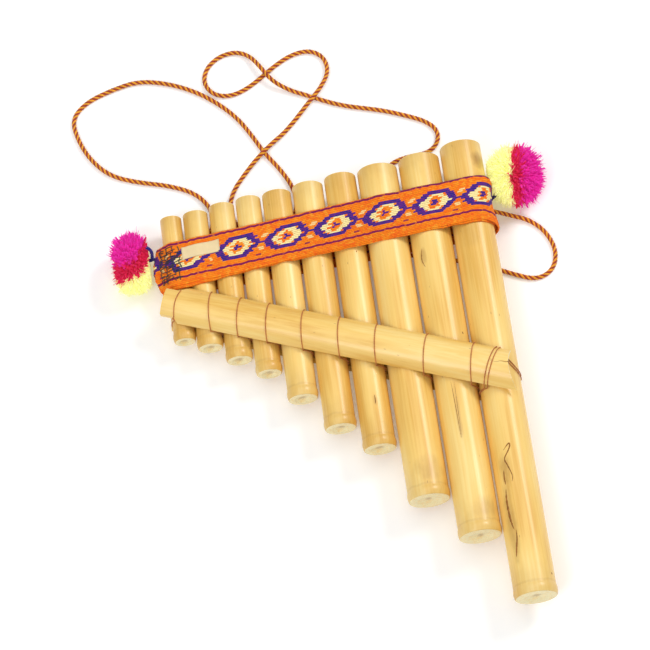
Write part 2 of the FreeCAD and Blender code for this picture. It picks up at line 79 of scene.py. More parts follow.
# How far beside its gap each thread passes the front brace's upper and lower edge.
LASHED_GAPS = {
    2: (-2.4 * MM, -5.4 * MM),
    3: (-1.9 * MM, -6.2 * MM),
    4: (-2.0 * MM, -6.0 * MM),
    5: (-1.4 * MM, -4.8 * MM),
    6: (-1.0 * MM, -4.2 * MM),
    7: (-1.0 * MM, -4.6 * MM),
    8: (1.2 * MM, -3.8 * MM),
    9: (1.2 * MM, -3.4 * MM),
}
LEFT_END_XS = (-77.9 * MM, -80.6 * MM)
RIGHT_END_XS = (75.9 * MM, 66.8 * MM)
WINDING_STEP = 1.6 * MM       # from one turn to the next at the right end
RIGHT_END_SLIPS = (11.5 * MM, 13.9 * MM)
NOTCH_ALONG = -84.6 * MM      # the narrowed end's shoulder, from the front brace's middle
NOTCH_EDGES = (5.6 * MM, -7.4 * MM)
BOW = 0.9 * MM                # how far each thread bends aside where it crosses the front brace

BAND_Y = 82.4 * MM
BAND_ANGLE = math.radians(2.7)
BAND_WIDTH = 24.2 * MM
BAND_PLAY = 0.15 * MM
BAND_FOLD = (Vector((-84.9 * MM, 11.9 * MM)), 1.4 * MM)
UV_SPAN = 100.0               # millimetres of cloth in one unit of its UV map
OUTER_LIFT = 0.85 * MM        # how far each layer's face stands off the pipes
INNER_LIFT = 0.40 * MM
CLOTH = 0.55 * MM
PATTERN_SHIFT = 32.55 * MM    # brings one diamond's middle to its place
PATTERN_RISE = 1.5 * MM       # the pattern sits above the band's middle
EDGE_LINE = 9.3 * MM
EDGE_LINE_HALF = 0.58 * MM
FLOAT_LENGTH = 1.4 * MM       # how far one pattern yarn runs over the cloth
DIAMOND_ROWS = 6.5            # the diamond's rows on each side of its middle
CREAM_ROWS = 4.5
LABEL_SIZE = (19.5 * MM, 6.6 * MM)
LABEL_AT = (-64.3 * MM, 4.7 * MM)

# Each pompom: the middle and half-widths of its yarn, the knot it hangs from, the way its magenta
# side faces, where the parting lies (0 is through the middle), how far the crimson yarn that
# paints shade on the magenta runs past it, how square the ball is seen from the front (2 is
# round), how far its yarn may reach towards the band, and the seed of its loose yarn.
POMPOMS = {
    "left": dict(
        middle=Vector((-0.0994, 0.0840, 0.0124)), half=Vector((0.0094, 0.0142, 0.0116)),
        knot=Vector((-0.0885, 0.0860, 0.0116)), facing=Vector((-0.30, 0.66, 0.68)),
        parting=-0.08, crimson=0.62, square=3.2, room=8.5 * MM, seed=5),
    "right": dict(
        middle=Vector((0.0972, 0.1022, 0.0148)), half=Vector((0.0138, 0.0148, 0.0142)),
        knot=Vector((0.0849, 0.0920, 0.0128)), facing=Vector((1.0, -0.1, 0.06)),
        parting=-0.02, crimson=0.42, square=2.0, room=12.6 * MM, seed=8),
}
# Each wool: its material, how much darker its second tone is, and its glow, a painted glow that
# lights the yarn from within.
WOOL = {
    "magenta": ("magenta_wool", 0.7, 0.12),
    # The crimson wool is painted shade on the magenta.
    "crimson": ("crimson_wool", 0.7, 0.12),
    "yellow": ("lemon_wool", 0.88, 0.17),
}
FLOOR_CLEARANCE = 0.35 * MM
KNOT_ROOM = 3.4 * MM          # yarn is trimmed round the knot
WISPS = 2                     # loose fibres at each cut end

CORD = 2.4 * MM
# The cord's way over the surface, from the band's right end round to its left, in tenths of a
# millimetre: x, y and its height, where that isn't CORD_LIES_AT.
CORD_LIES_AT = 12
CORD_ROUTE = [tuple(part / 10000 for part in (*place, CORD_LIES_AT)[:3]) for place in (
    (828, 864, 116), (880, 862, 81), (942, 855, 34), (1020, 834), (1096, 760), (1136, 646),
    (1108, 540), (1016, 496), (910, 540), (770, 614), (600, 674), (420, 714), (290, 800),
    (220, 930), (230, 1070), (300, 1190), (390, 1264), (490, 1282), (570, 1284), (630, 1330),
    (640, 1406), (588, 1466), (498, 1512), (380, 1562), (266, 1596), (170, 1626), (80, 1668),
    (-8, 1716), (-90, 1754, 18), (-174, 1812, 40), (-230, 1916, 40), (-276, 1992, 18),
    (-346, 2028), (-436, 2012), (-506, 1954), (-530, 1874), (-496, 1804), (-426, 1772),
    (-346, 1784), (-260, 1830), (-156, 1908), (-54, 1964), (44, 1974), (112, 1924),
    (126, 1834, 18), (82, 1742, 40), (-8, 1648, 40), (-84, 1574, 18), (-154, 1506, 18),
    (-220, 1450, 40), (-306, 1376, 40), (-380, 1306, 18), (-444, 1230), (-478, 1138),
    (-460, 1034), (-386, 960), (-278, 942), (-180, 990), (-130, 1086), (-138, 1200), (-194, 1314),
    (-262, 1416), (-314, 1526), (-378, 1640), (-468, 1740), (-580, 1830), (-720, 1900),
    (-870, 1936), (-1010, 1906), (-1150, 1856), (-1234, 1770), (-1216, 1646), (-1160, 1516),
    (-1066, 1410), (-930, 1352), (-776, 1310), (-646, 1248), (-572, 1154), (-568, 1046),
    (-624, 956), (-694, 896, 20), (-766, 866, 39),
)]

# Small dark tracks in the cane's skin: pipe, then points as (degrees round the pipe from the
# front, millimetres from its closed end), and the width of the track in millimetres.
TRACKS = [
    (10, 0.80, [(-27.6, 71.9), (-13.3, 74.6), (-4.7, 75.7), (-6.0, 73.3), (-17.1, 70.4),
                (-27.4, 68.1), (-20.8, 64.9), (-13.3, 60.7), (-10.3, 57.3), (-20.3, 54.6)]),
    (10, 1.20, [(-34.9, 54.3), (-40.8, 48.9), (-40.1, 41.4), (-37.1, 35.5), (-30.1, 31.2)]),
    (10, 1.00, [(-27.1, 33.2), (-25.7, 28.7), (-34.1, 23.6), (-40.4, 17.6)]),
    (10, 0.80, [(-33.0, 63.0), (-37.0, 58.5), (-34.0, 55.0)]),
    (9, 0.34, [(-13.7, 78.4), (-11.0, 66.6), (-9.9, 45.4)]),
    (9, 0.24, [(-4.3, 78.2), (-6.4, 62.0), (-8.4, 45.8)]),
    (9, 0.60, [(-32.6, 151.0), (-41.1, 145.7), (-36.7, 142.0), (-30.7, 139.9)]),
    (9, 0.80, [(44.7, 103.6), (45.4, 103.0), (46.2, 102.4)]),
    (7, 0.50, [(7.2, 25.9), (9.2, 22.9), (6.2, 20.9)]),
    (7, 0.60, [(20.0, 103.6), (21.0, 103.2), (22.0, 102.8)]),
    (10, 0.60, [(56.0, 9.5), (56.8, 9.0), (57.5, 8.6)]),
]


def paint(red, green, blue):
    """A screen colour, each part from 0 to 255, as the linear colour that materials use."""
    parts = [part / 255 for part in (red, green, blue)]
    return tuple(p / 12.92 if p <= 0.04045 else ((p + 0.055) / 1.055) ** 2.4 for p in parts)


def colour(name, description, screen):
    return FloatVectorProperty(name=name, description=description, subtype="COLOR", size=3,
                               min=0.0, max=1.0, default=paint(*screen))


def small_size(name, description, default, low, high):
    """A small size that a user may change, with all its numbers in millimetres."""
    return FloatProperty(name=name, description=description, subtype="DISTANCE",
                         default=default * MM, min=low * MM, max=high * MM)


# --- what a user may change ------------------------------------------------------------------
class CaneSettings(bpy.types.PropertyGroup):
    light: colour("Light Cane", "Palest streaks of the cane's skin", (252, 226, 150))
    straw: colour("Straw", "Main colour of the cane's skin", (242, 202, 112))
    deep: colour("Deep Straw", "Darkest streaks of the cane's skin", (224, 172, 74))
    stain: colour("Stain", "Brown haze near the cane's joints", (150, 98, 38))
    pith: colour("Pith", "Cut ends of the cane", (244, 230, 182))
    # Pores also colours the painted shade deep inside each bore.
    pores: colour("Pores", "Dark bundles in the cut ends", (184, 152, 92))
    gloss: FloatProperty(name="Gloss", description="Strength of the skin's waxy coat",
                         default=0.30, min=0.0, max=1.0, subtype="FACTOR")


class ThreadSettings(bpy.types.PropertyGroup):
    wax: colour("Waxed Thread", "Lashing thread", (214, 138, 70))
    worn: colour("Worn Thread", "Darker stretches of the lashing thread", (176, 96, 44))
    sewing: colour("Sewing Thread", "Stitches that close the band", (38, 34, 34))
    turn: small_size("Turn", "Length of one turn of the thread's twist", 1.6, 0.5, 5)


class BandSettings(bpy.types.PropertyGroup):
    ground: colour("Ground", "Main colour of the woven band", (255, 138, 16))
    ember: colour("Ember", "Redder yarns in the ground", (250, 98, 18))
    flame: colour("Flame", "Lightest yarns in the ground", (255, 176, 52))
    outline: colour("Outline", "Stepped outline of each diamond", (82, 32, 140))
    navy: colour("Navy", "Bluer yarns in the outline", (30, 32, 140))
    cream: colour("Cream", "Inside of each diamond", (255, 238, 166))
    edge_line: colour("Edge Line", "Wavy line beside each edge", (128, 14, 84))
    label: colour("Label", "Blank cloth label", (246, 222, 170))
    row: small_size("Row", "Width of one warp row", 0.93, 0.3, 3)
    period: small_size("Period", "Length of one diamond with its knot", 25.3, 5, 60)


class YarnSettings(bpy.types.PropertyGroup):
    magenta: colour("Magenta", "Bright side of the pompoms", (248, 36, 184))
    # The crimson yarn is painted shade on the magenta beside the parting.
    crimson: colour("Crimson", "Yarn beside the parting", (238, 24, 88))
    yellow: colour("Lemon", "Pale side of the pompoms", (255, 255, 184))
    tie: colour("Tie", "Yarn that ties each pompom", (34, 28, 150))
    strands: IntProperty(name="Strands", description="Cut yarn ends in one pompom",
                         default=1500, min=100, max=4000)
    yarn: small_size("Yarn", "Thickness of one yarn", 1.0, 0.3, 3)


class CordSettings(bpy.types.PropertyGroup):
    amber: colour("Amber", "Yellow strands of the neck cord", (250, 170, 26))
    rust: colour("Rust", "Red strands of the neck cord", (170, 44, 18))
    lay: small_size("Lay", "Length of one turn of the cord's strands", 6.2, 2, 30)


class StageSettings(bpy.types.PropertyGroup):
    floor: colour("Floor", "Floor under the flute", (250, 250, 250))
    distance: FloatProperty(name="Distance", description="Camera to its target",
                            default=1.3979, min=0.2, max=5, unit="LENGTH")
    azimuth: FloatProperty(name="Azimuth", description="Camera's direction round the flute",
                           default=math.radians(1.24), subtype="ANGLE")
    elevation: FloatProperty(name="Elevation", description="Camera's height as an angle",
                             default=math.radians(67.19), subtype="ANGLE")
    roll: FloatProperty(name="Roll", description="Turn of the camera about its own line",
                        default=math.radians(-9.27), subtype="ANGLE")
    focus: FloatVectorProperty(name="Target", description="Where the camera looks", size=3,
                               default=(-0.0074, 0.0378, 0.010), subtype="TRANSLATION")


# --- materials -------------------------------------------------------------------------------
class Wire:
    """A shader socket that can be used in Python expressions on values."""

    def __init__(self, finish, socket):
        self.finish = finish
        self.socket = socket

    def maths(self, operation, *values):
        return self.finish.node("ShaderNodeMath", {"operation": operation}, enumerate(values))

    def __add__(self, other):
        return self.maths("ADD", self, other)

    __radd__ = __add__

    def __sub__(self, other):
        return self.maths("SUBTRACT", self, other)

    def __rsub__(self, other):
        return self.maths("SUBTRACT", other, self)

    def __mul__(self, other):
        return self.maths("MULTIPLY", self, other)

    __rmul__ = __mul__

    def __truediv__(self, other):
        return self.maths("DIVIDE", self, other)

    def __mod__(self, other):
        return self.maths("FLOORED_MODULO", self, other)

    def __lt__(self, other):
        return self.maths("LESS_THAN", self, other)

    def __gt__(self, other):
        return self.maths("GREATER_THAN", self, other)

    def __abs__(self):
        return self.maths("ABSOLUTE", self)

    def __floor__(self):
        return self.maths("FLOOR", self)

    def most(self, other):
        return self.maths("MAXIMUM", self, other)

    def sine(self):
        return self.maths("SINE", self)

    def root(self):
        return self.maths("SQRT", self)

    def ramp(self, low, high, start=0.0, end=1.0):
        """Runs smoothly from start to end as this value goes from low to high."""
        return self.finish.node(
            "ShaderNodeMapRange", {"interpolation_type": "SMOOTHSTEP"},
            {"Value": self, "From Min": low, "From Max": high, "To Min": start, "To Max": end})


class Finish:
    """A material while it is being made."""

    def __init__(self, name, **constants):
        self.material = bpy.data.materials.new(name)
        self.material.use_nodes = True
        self.tree = self.material.node_tree
        self.shader = self.tree.nodes["Principled BSDF"]
        for socket, value in constants.items():
            self.feed(self.shader.inputs[socket.replace("_", " ")], value)

    def node(self, kind, settings, sockets, output=0):
        made = self.tree.nodes.new(kind)
        for setting, value in settings.items():
            setattr(made, setting, value)
        for key, value in dict(sockets).items():
            self.feed(made.inputs[key], value)
        return Wire(self, made.outputs[output])

    def feed(self, socket, value):
        if isinstance(value, Wire):
            self.tree.links.new(value.socket, socket)
        elif socket.type == "RGBA" and len(value) == 3:
            socket.default_value = (*value, 1.0)
        else:
            socket.default_value = value

    def millimetres(self, place=(0, 0, 0), turn=(0, 0, 0)):
        """Object coordinates in millimetres, in a frame of the piece's own, as x, y and z."""
        own = self.node("ShaderNodeTexCoord", {}, {}, output="Object")
        placed = self.node("ShaderNodeMapping", {"vector_type": "TEXTURE"},
                           {"Vector": own, "Location": place, "Rotation": turn,
                            "Scale": (MM, MM, MM)})
        return self.parts(placed)

    def parts(self, vector):
        split = self.node("ShaderNodeSeparateXYZ", {}, {"Vector": vector})
        node = split.socket.node
        return [Wire(self, socket) for socket in node.outputs]

    def weave(self):
        """Millimetres along and across the flat cloth, from its own UV map."""
        u, v, _ = self.parts(self.node("ShaderNodeUVMap", {"uv_map": "weave"}, {}))
        return u * UV_SPAN, v * UV_SPAN

    def vector(self, x, y, z):
        return self.node("ShaderNodeCombineXYZ", {}, {"X": x, "Y": y, "Z": z})

    def noise(self, vector, scale=1.0, detail=3.0):
        return self.node("ShaderNodeTexNoise", {},
                         {"Vector": vector, "Scale": scale, "Detail": detail})

    def cells(self, vector, scale=1.0):
        """Distance to the nearest of many scattered points."""
        return self.node("ShaderNodeTexVoronoi", {}, {"Vector": vector, "Scale": scale})

    def blend(self, factor, first, second):
        return self.node("ShaderNodeMix", {"data_type": "RGBA"},
                         {0: factor, 6: first, 7: second}, output=2)

    def bump(self, height, distance, strength=1.0):
        normal = self.node("ShaderNodeBump", {}, {"Height": height, "Distance": distance,
                                                  "Strength": strength})
        self.feed(self.shader.inputs["Normal"], normal)

    def colour(self, value):
        self.feed(self.shader.inputs["Base Color"], value)

    def roughness(self, value):
        self.feed(self.shader.inputs["Roughness"], value)


def cane_skin(finish, cane, x, y, z, seed):
    """Colour of the waxy skin of a cane that grew along y."""
    broad = finish.noise(finish.vector(x * 0.07 + seed, y * 0.012, z * 0.07), detail=2)
    streak = finish.noise(finish.vector(x * 0.9 + seed, y * 0.02, z * 0.9), detail=4)
    hair = finish.noise(finish.vector(x * 4.0 + seed, y * 0.06, z * 4.0), detail=3)
    tone = broad.ramp(0.35, 0.68) * 0.5 + streak.ramp(0.3, 0.72) * 0.2 + hair * 0.16 + 0.1
    skin = finish.blend(tone.ramp(0.1, 0.55), cane.deep, cane.straw)
    skin = finish.blend(tone.ramp(0.5, 1.0, 0.0, 0.8), skin, cane.light)
    return skin, streak, hair


def speckled(finish, cane, skin, x, y, z, seed):
    """Adds rare brown flecks, drawn out along the cane."""
    spots = finish.cells(finish.vector(x * 0.22 + seed, y * 0.07, z * 0.22))
    return finish.blend(spots.ramp(0.02, 0.07, 0.55, 0.0), skin, cane.stain)


def cut_cane(finish, cane, x, y, z):
    """Pale pith with rings of pores, where the cane was sawn."""
    pores = finish.cells(finish.vector(x, y * 0.4, z), scale=1.9)
    cloud = finish.noise(finish.vector(x, y, z), scale=0.5, detail=4)
    pith = finish.blend(pores.ramp(0.12, 0.34, 0.75, 0.0), cane.pith, cane.pores)
    return finish.blend(cloud.ramp(0.45, 0.75, 0.0, 0.55), pith, cane.straw)


class Pipe:
    """Where one pipe lies, measured on its frame."""

    def __init__(self, number):
        self.name = "pipe_%02d" % number
        low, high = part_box(self.name)
        self.closed, _ = self.section(low.y, low.y + 0.9 * MM)
        self.mouth, self.radius = self.section(high.y - 3 * MM, high.y)
        self.closed.y = low.y
        self.mouth.y = high.y
        self.length = (self.mouth - self.closed).length
        self.bore = self.radius - WALL_BASE - WALL_SHARE * 2 * self.radius

    def section(self, low_y, high_y):
        """Middle and radius of the stretch between two heights."""
        points = [v.co for v in NODES[self.name].data.vertices if low_y <= v.co.y <= high_y]
        xs = [p.x for p in points]
        zs = [p.z for p in points]
        middle = Vector(((min(xs) + max(xs)) / 2, 0, (min(zs) + max(zs)) / 2))
        return middle, (max(zs) - min(zs)) / 2

    def along(self, y):
        return self.closed.lerp(self.mouth, (y - self.closed.y) / (self.mouth.y - self.closed.y))

    def skin_point(self, degrees, height, sink=0.0):
        """A point on the skin: degrees from the front, height above the closed end."""
        axis = (self.mouth - self.closed).normalized()
        angle = math.radians(degrees)
        out = Vector((math.sin(angle), 0, math.cos(angle)))
        return self.closed + axis * height * MM + out * (self.radius - sink)


PIPES = {number: Pipe(number) for number in range(1, PIPE_COUNT + 1)}


# Brown clouds in the skin of each pipe: degrees from the front, height and half-sizes in
# millimetres, and strength.
CLOUDS = {
    10: [(-36.0, 36.0, 3.0, 24.0, 0.45), (-28.0, 63.0, 3.2, 10.0, 0.5),
         (47.0, 229.0, 4.5, 6.0, 0.75), (-10.0, 190.0, 7.0, 12.0, 0.2)],
    9: [(-8.0, 60.0, 1.6, 22.0, 0.34), (-33.0, 146.0, 2.0, 6.0, 0.5),
        (30.0, 12.0, 8.0, 7.0, 0.3)],
    8: [(10.0, 14.0, 9.0, 8.0, 0.3)],
    7: [(8.0, 23.0, 1.6, 3.5, 0.4)],
}


def pipe_finish(pipe, cane, seed):
    finish = Finish(pipe.name + "_cane", Coat_Weight=cane.gloss, Coat_Roughness=0.21)
    lean = math.atan2(pipe.mouth.x - pipe.closed.x, pipe.mouth.y - pipe.closed.y)
    x, y, z = finish.millimetres(pipe.closed, (0, 0, -lean))
    length = pipe.length / MM
    skin, streak, hair = cane_skin(finish, cane, x, y, z, seed * 7.3)
    skin = speckled(finish, cane, skin, x, y, z, seed * 3.1)
    cloud = finish.noise(finish.vector(x * 0.3 + seed, y * 0.16, z * 0.3), detail=4)
    for degrees, height, across, along, strength in CLOUDS.get(seed, []):
        side = (x - math.sin(math.radians(degrees)) * pipe.radius / MM) / across
        far = (y - height) / along
        near = (side * side + far * far + cloud * 1.2).ramp(0.3, 1.6, strength, 0.0) * (z > 0.0)
        skin = finish.blend(near, skin, cane.stain)
    low_haze = (y + cloud * 12).ramp(6.0, 26.0, 0.20, 0.0)
    skin = finish.blend(low_haze, skin, cane.stain)
    ring = abs(y + cloud * 1.6 - 6.6).ramp(0.15, 0.9, 0.12, 0.0)
    skin = finish.blend(ring, skin, cane.stain)
    high_haze = (length - y + cloud * 14).ramp(5.0, 22.0, 0.22, 0.0)
    skin = finish.blend(high_haze, skin, cane.stain)
    cut = cut_cane(finish, cane, x, y, z)
    from_axis = (x * x + z * z).root()
    rim = pipe.radius / MM - 0.4
    at_closed = (y < 1.3) * (from_axis < rim)
    at_mouth = y > length - 0.35
    inside = from_axis < pipe.bore / MM + 0.25
    # Painted shade: inside the bore the pith is darkened towards the pores colour, more so deeper
    # in from the mouth.
    bore_shade = y.ramp(length - 26.0, length - 1.0, 0.55, 0.1)
    bare = at_closed.most(at_mouth.most(inside))
    skin = finish.blend(bare, skin, cut)
    heart = (from_axis + cloud * 4.0).ramp(2.2, 5.0, 0.5, 0.0) * at_closed
    skin = finish.blend(heart, skin, cane.stain)
    finish.colour(finish.blend(inside * bore_shade * (y > 1.6), skin, cane.pores))
    finish.roughness((bare * 0.85).most(hair * 0.16 + 0.38))
    finish.bump(hair * 0.4 + streak * 0.6, 0.09 * MM, 0.6)
    return finish.material


def brace_finish(name, cane, place, seed, scoop):
    """Cane that grew along the brace, pale where it was split or sawn."""
    finish = Finish(name + "_cane", Coat_Weight=cane.gloss, Coat_Roughness=0.21)
    x, y, z = finish.millimetres(place, (0, 0, BRACE_ANGLE - math.pi / 2))
    skin, streak, hair = cane_skin(finish, cane, x, y, z, seed)
    skin = speckled(finish, cane, skin, x, y, z, seed)
    wide_x, wide_y, _ = finish.millimetres()
    dx = wide_x - SCOOP_CENTRE.x / MM
    dy = wide_y - SCOOP_CENTRE.y / MM
    sawn = (dx * dx + dy * dy).root() < SCOOP_RADIUS / MM + 0.12
    if not scoop:
        sawn = (wide_x > BACK_BRACE_ENDS[1]).most(wide_x < BACK_BRACE_ENDS[0])
    cut = cut_cane(finish, cane, x, y * 0.3, z)
    finish.colour(finish.blend(sawn, skin, cut))
    finish.roughness((sawn * 0.8).most(hair * 0.16 + 0.34))
    finish.bump(hair * 0.4 + streak * 0.6, 0.08 * MM, 0.6)
    return finish.material


def plain_fibre(name, first, second, scale, roughness=0.75, sheen=0.1, grain=0.06 * MM,
                painted_glow=0.0):
    """Thread or yarn: two close colours in short streaks, with a fibrous surface and an optional
    painted glow.
    """
    finish = Finish(name, Roughness=roughness, Sheen_Weight=sheen, Sheen_Roughness=0.4,
                    Emission_Color=first, Emission_Strength=painted_glow)
    x, y, z = finish.millimetres()
    place = finish.vector(x, y, z)
    patch = finish.noise(place, scale=scale, detail=3)
    fibre = finish.noise(place, scale=scale * 9, detail=2)
    finish.colour(finish.blend(patch.ramp(0.3, 0.7) * 0.7 + fibre * 0.3, first, second))
    finish.bump(fibre, grain, 0.8)
    return finish.material


def shade(colour_in, factor):
    return tuple(min(1.0, part * factor) for part in colour_in)


def band_finish(band):
    """The woven band: stepped diamonds, each tied to the next, on an orange ground, with painted
    shade in its grooves.
    """
    finish = Finish("band_weave", Roughness=0.85, Sheen_Weight=0.04, Specular_IOR_Level=0.25)
    u, v = finish.weave()
    v = v - PATTERN_RISE / MM - u.ramp(-40.0, 85.0, 0.0, 0.9)
    row_width = band.row / MM
    period = band.period / MM
    row = math.floor(v / row_width + 0.5)
    stagger = (row % 2.0) * 0.75
    sheared = u - v * 0.40
    ragged = finish.noise(finish.vector(u * 0.9, row * 3.7, 0.0), detail=1) - 0.5
    float_length = FLOAT_LENGTH / MM
    step = (math.floor((sheared + stagger + ragged) / float_length) + 0.5) * float_length
    along = abs((step + PATTERN_SHIFT / MM) % period - period / 2)
    rise = abs(row)
    middle_row = rise < 0.5

    def reach(at_middle, less_each_row):
        """How far a part of the diamond runs from its middle, in each row."""
        return at_middle - less_each_row * rise

    outline_in = reach(8.2, 1.1) * (rise < CREAM_ROWS)
    outline = (along < reach(12.6, 1.1) + 3.0 * middle_row) * (along > outline_in) \
        * (rise < DIAMOND_ROWS)
    cream_in = reach(4.6, 1.2).most(0.0) * (rise > 0.5) + 3.0 * middle_row
    cream = (along < reach(7.8, 1.15)) * (along > cream_in) * (rise < CREAM_ROWS)
    dot = (along < 1.7) * middle_row + (along < 0.8) * (rise > 0.5) * (rise < 1.5)
    spot = (along > period / 2 - 1.1) * (rise > 2.5) * (rise < CREAM_ROWS)
    tick = (along > period / 2 - 1.5) * (rise > DIAMOND_ROWS) * (rise < 7.5) * (row < 0.0)
    wave = (u * 1.25 + (u * 0.37).sine() * 1.4).sine() * 0.22
    edge = abs(abs(v) - EDGE_LINE / MM - wave) < EDGE_LINE_HALF / MM
    dashes = finish.noise(finish.vector(u * 0.5, v * 0.2, 4.0), detail=1)
    patch = finish.noise(finish.vector(u * 0.16, v * 0.4, 0.0), detail=3)
    yarn = finish.noise(finish.vector(u * 0.7, row * 1.3, 2.0), detail=2)
    spun = finish.node("ShaderNodeTexWhiteNoise", {"noise_dimensions": "2D"},
                       {"Vector": finish.vector(step, row, 0.0)})
    ground = finish.blend(patch.ramp(0.38, 0.7) * 0.35 + spun.ramp(0.0, 0.6, 0.55, 0.0),
                          band.ground, band.ember)
    ground = finish.blend(spun.ramp(0.75, 1.0, 0.0, 0.5), ground, band.flame)
    dark = finish.blend(spun.ramp(0.3, 0.7), band.outline, band.navy)
    woven = finish.blend(tick * 0.85, ground, band.edge_line)
    woven = finish.blend(spot * 0.7, woven, band.cream)
    woven = finish.blend(outline, woven, dark)
    woven = finish.blend(cream * yarn.ramp(0.2, 0.42, 0.7, 1.0), woven, band.cream)
    woven = finish.blend(dot, woven, dark)
    woven = finish.blend(edge * dashes.ramp(0.3, 0.42, 0.5, 1.0), woven, band.edge_line)
    across = ((v / row_width + 0.5) * math.pi).sine()
    crest = (across * across).root()
    beads = ((sheared + stagger) * (math.pi / float_length)).sine()
    relief = crest * 0.7 + (beads * beads) * crest * 0.5
    fibre = finish.noise(finish.vector(u * 1.2, v * 9.0, 0.0), detail=3)
    # Painted shade: where the relief is low, in the grooves between rows and between floats, the
    # colour is darkened towards a deep ember.
    finish.colour(finish.blend((relief + fibre * 0.5).ramp(0.15, 0.85, 0.55, 0.0), woven,
                               shade(band.ember, 0.5)))
    finish.bump(relief + fibre * 0.25, 0.3 * MM, 0.9)
    return finish.material


def label_finish(band):
    """Close-woven cream cloth with nothing on it."""
    finish = Finish("label_weave", Roughness=0.7, Sheen_Weight=0.2)
    u, v = finish.weave()
    warp = (u * 16.0).sine()
    weft = (v * 16.0).sine()
    patch = finish.noise(finish.vector(u * 0.3, v * 0.3, 0.0), detail=3)
    edge_u = abs(u - LABEL_AT[0] / MM).ramp(8.6, 9.6)
    edge_v = abs(v - LABEL_AT[1] / MM).ramp(2.7, 3.3)
    tone = patch * 0.35 + edge_u.most(edge_v) * 0.4 + warp * weft * 0.1
    finish.colour(finish.blend(tone, band.label, shade(band.label, 0.62)))
    finish.bump(warp * weft, 0.05 * MM, 0.7)
    return finish.material


# --- making pieces ---------------------------------------------------------------------------
def piece(name, mesh, materials, body, replaced=()):
    """Puts a mesh in the scene as a piece of the flute."""
    made = bpy.data.objects.new(name, mesh)
    bpy.context.scene.collection.objects.link(made)
    for material in materials:
        mesh.materials.append(material)
    mesh.shade_smooth()
    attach(made, body)
    if replaced:
        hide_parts(*replaced)
    return made


def tubes(name, strands, facets=1):
    """Round tubes with closed ends along strands of (point, radius), as one mesh."""
    line = bpy.data.curves.new(name, "CURVE")
    line.dimensions = "3D"
    line.bevel_depth = 1.0
    line.bevel_resolution = facets
    line.use_fill_caps = True
    for strand in strands:
        spline = line.splines.new("POLY")
        spline.points.add(len(strand) - 1)
        for spot, (place, radius) in zip(spline.points, strand):
            spot.co = (*place, 1.0)
            spot.radius = radius
    holder = bpy.data.objects.new(name, line)
    mesh = bpy.data.meshes.new_from_object(holder)
    mesh.name = name
    bpy.data.objects.remove(holder)
    bpy.data.curves.remove(line)
    return mesh


def joined(name, meshes):
    """One mesh of several, each with a material slot of its own."""
    bm = bmesh.new()
    for index, mesh in enumerate(meshes):
        before = len(bm.faces)
        bm.from_mesh(mesh)
        bm.faces.ensure_lookup_table()
        for face in bm.faces[before:]:
            face.material_index = index
        bpy.data.meshes.remove(mesh)
    whole = bpy.data.meshes.new(name)
    bm.to_mesh(whole)
    bm.free()
    return whole


def arc_points(start, over, end):
    """Points along the circle's arc from start, over a point, to end."""
    a = over - start
    b = end - start
    normal = a.cross(b)
    centre = start + (normal.cross(a) * b.length_squared
                      + b.cross(normal) * a.length_squared) / (2 * normal.length_squared)
    normal.normalize()
    first = start - centre
    last = end - centre
    swept = math.atan2(first.cross(last).dot(normal), first.dot(last)) % (2 * math.pi)
    return [centre + Matrix.Rotation(swept * k / ARC_STEPS, 3, normal) @ first
            for k in range(ARC_STEPS + 1)]


def resampled(path, step):
    """The same line with points an even step apart."""
    lengths = [(b - a).length for a, b in zip(path, path[1:])]
    total = sum(lengths)
    count = max(2, round(total / step))
    spots = []
    index = 0
    passed = 0.0
    for k in range(count + 1):
        wanted = total * k / count
        while index < len(lengths) - 1 and passed + lengths[index] < wanted:
            passed += lengths[index]
            index += 1
        share = (wanted - passed) / max(lengths[index], 1e-9)
        spots.append(path[index].lerp(path[index + 1], min(share, 1.0)))
    return spots


def twist(path, plies, ply_radius, offset, turn_length, jitter=0.0, seed=0):
    """The strands of a cord that follows path: one list of (point, radius) for each ply."""
    strands = [[] for _ in range(plies)]
    tangent = (path[1] - path[0]).normalized()
    side = tangent.orthogonal().normalized()
    distance = 0.0
    for k, place in enumerate(path):
        ahead = path[min(k + 1, len(path) - 1)]
        behind = path[max(k - 1, 0)]
        tangent = (ahead - behind).normalized()
        side = (side - tangent * side.dot(tangent)).normalized()
        across = tangent.cross(side)
        if k:
            distance += (place - path[k - 1]).length
        for ply, strand in enumerate(strands):
            angle = 2 * math.pi * (distance / turn_length + ply / plies)
            out = side * math.cos(angle) + across * math.sin(angle)
            swell = 1 + jitter * noise.noise(Vector((distance * 400, ply * 5.0, seed)))
            strand.append((place + out * offset, ply_radius * swell))
    return strands


def trefoil(centre, size, turned, thickness):
    """A small overhand knot, drawn tight."""
    points = []
    for k in range(37):
        t = 2 * math.pi * k / 36
        point = Vector((math.sin(t) + 2 * math.sin(2 * t), math.cos(t) - 2 * math.cos(2 * t),
                        -1.3 * math.sin(3 * t))) * (size / 3)
        points.append((centre + turned @ point, thickness / 2))
    return points


# --- cane ------------------------------------------------------------------------------------
def brace_y(x):
    return BRACE_Y + math.tan(BRACE_ANGLE) * x


def crossing(pipe):
    """Where a pipe's axis passes under the braces' centre line."""
    return pipe.along(brace_y(pipe.mouth.x))


SEATS = [crossing(PIPES[n]) + Vector((0, 0, PIPES[n].radius + SEAT_PLAY)) for n in SEAT_PIPES]
FRONT_SLOPE = (SEATS[1].z - SEATS[0].z) / (SEATS[1].x - SEATS[0].x)
BACK_SEAT = BRACE_HEIGHT + SEAT_PLAY
UNDER_BRACE = BRACE_HEIGHT + SEAT_PLAY - THREAD / 2 - GROOVE_PLAY


def front_seat(x):
    """Height of the plane that the front brace lies on."""
    return SEATS[0].z + FRONT_SLOPE * (x - SEATS[0].x)


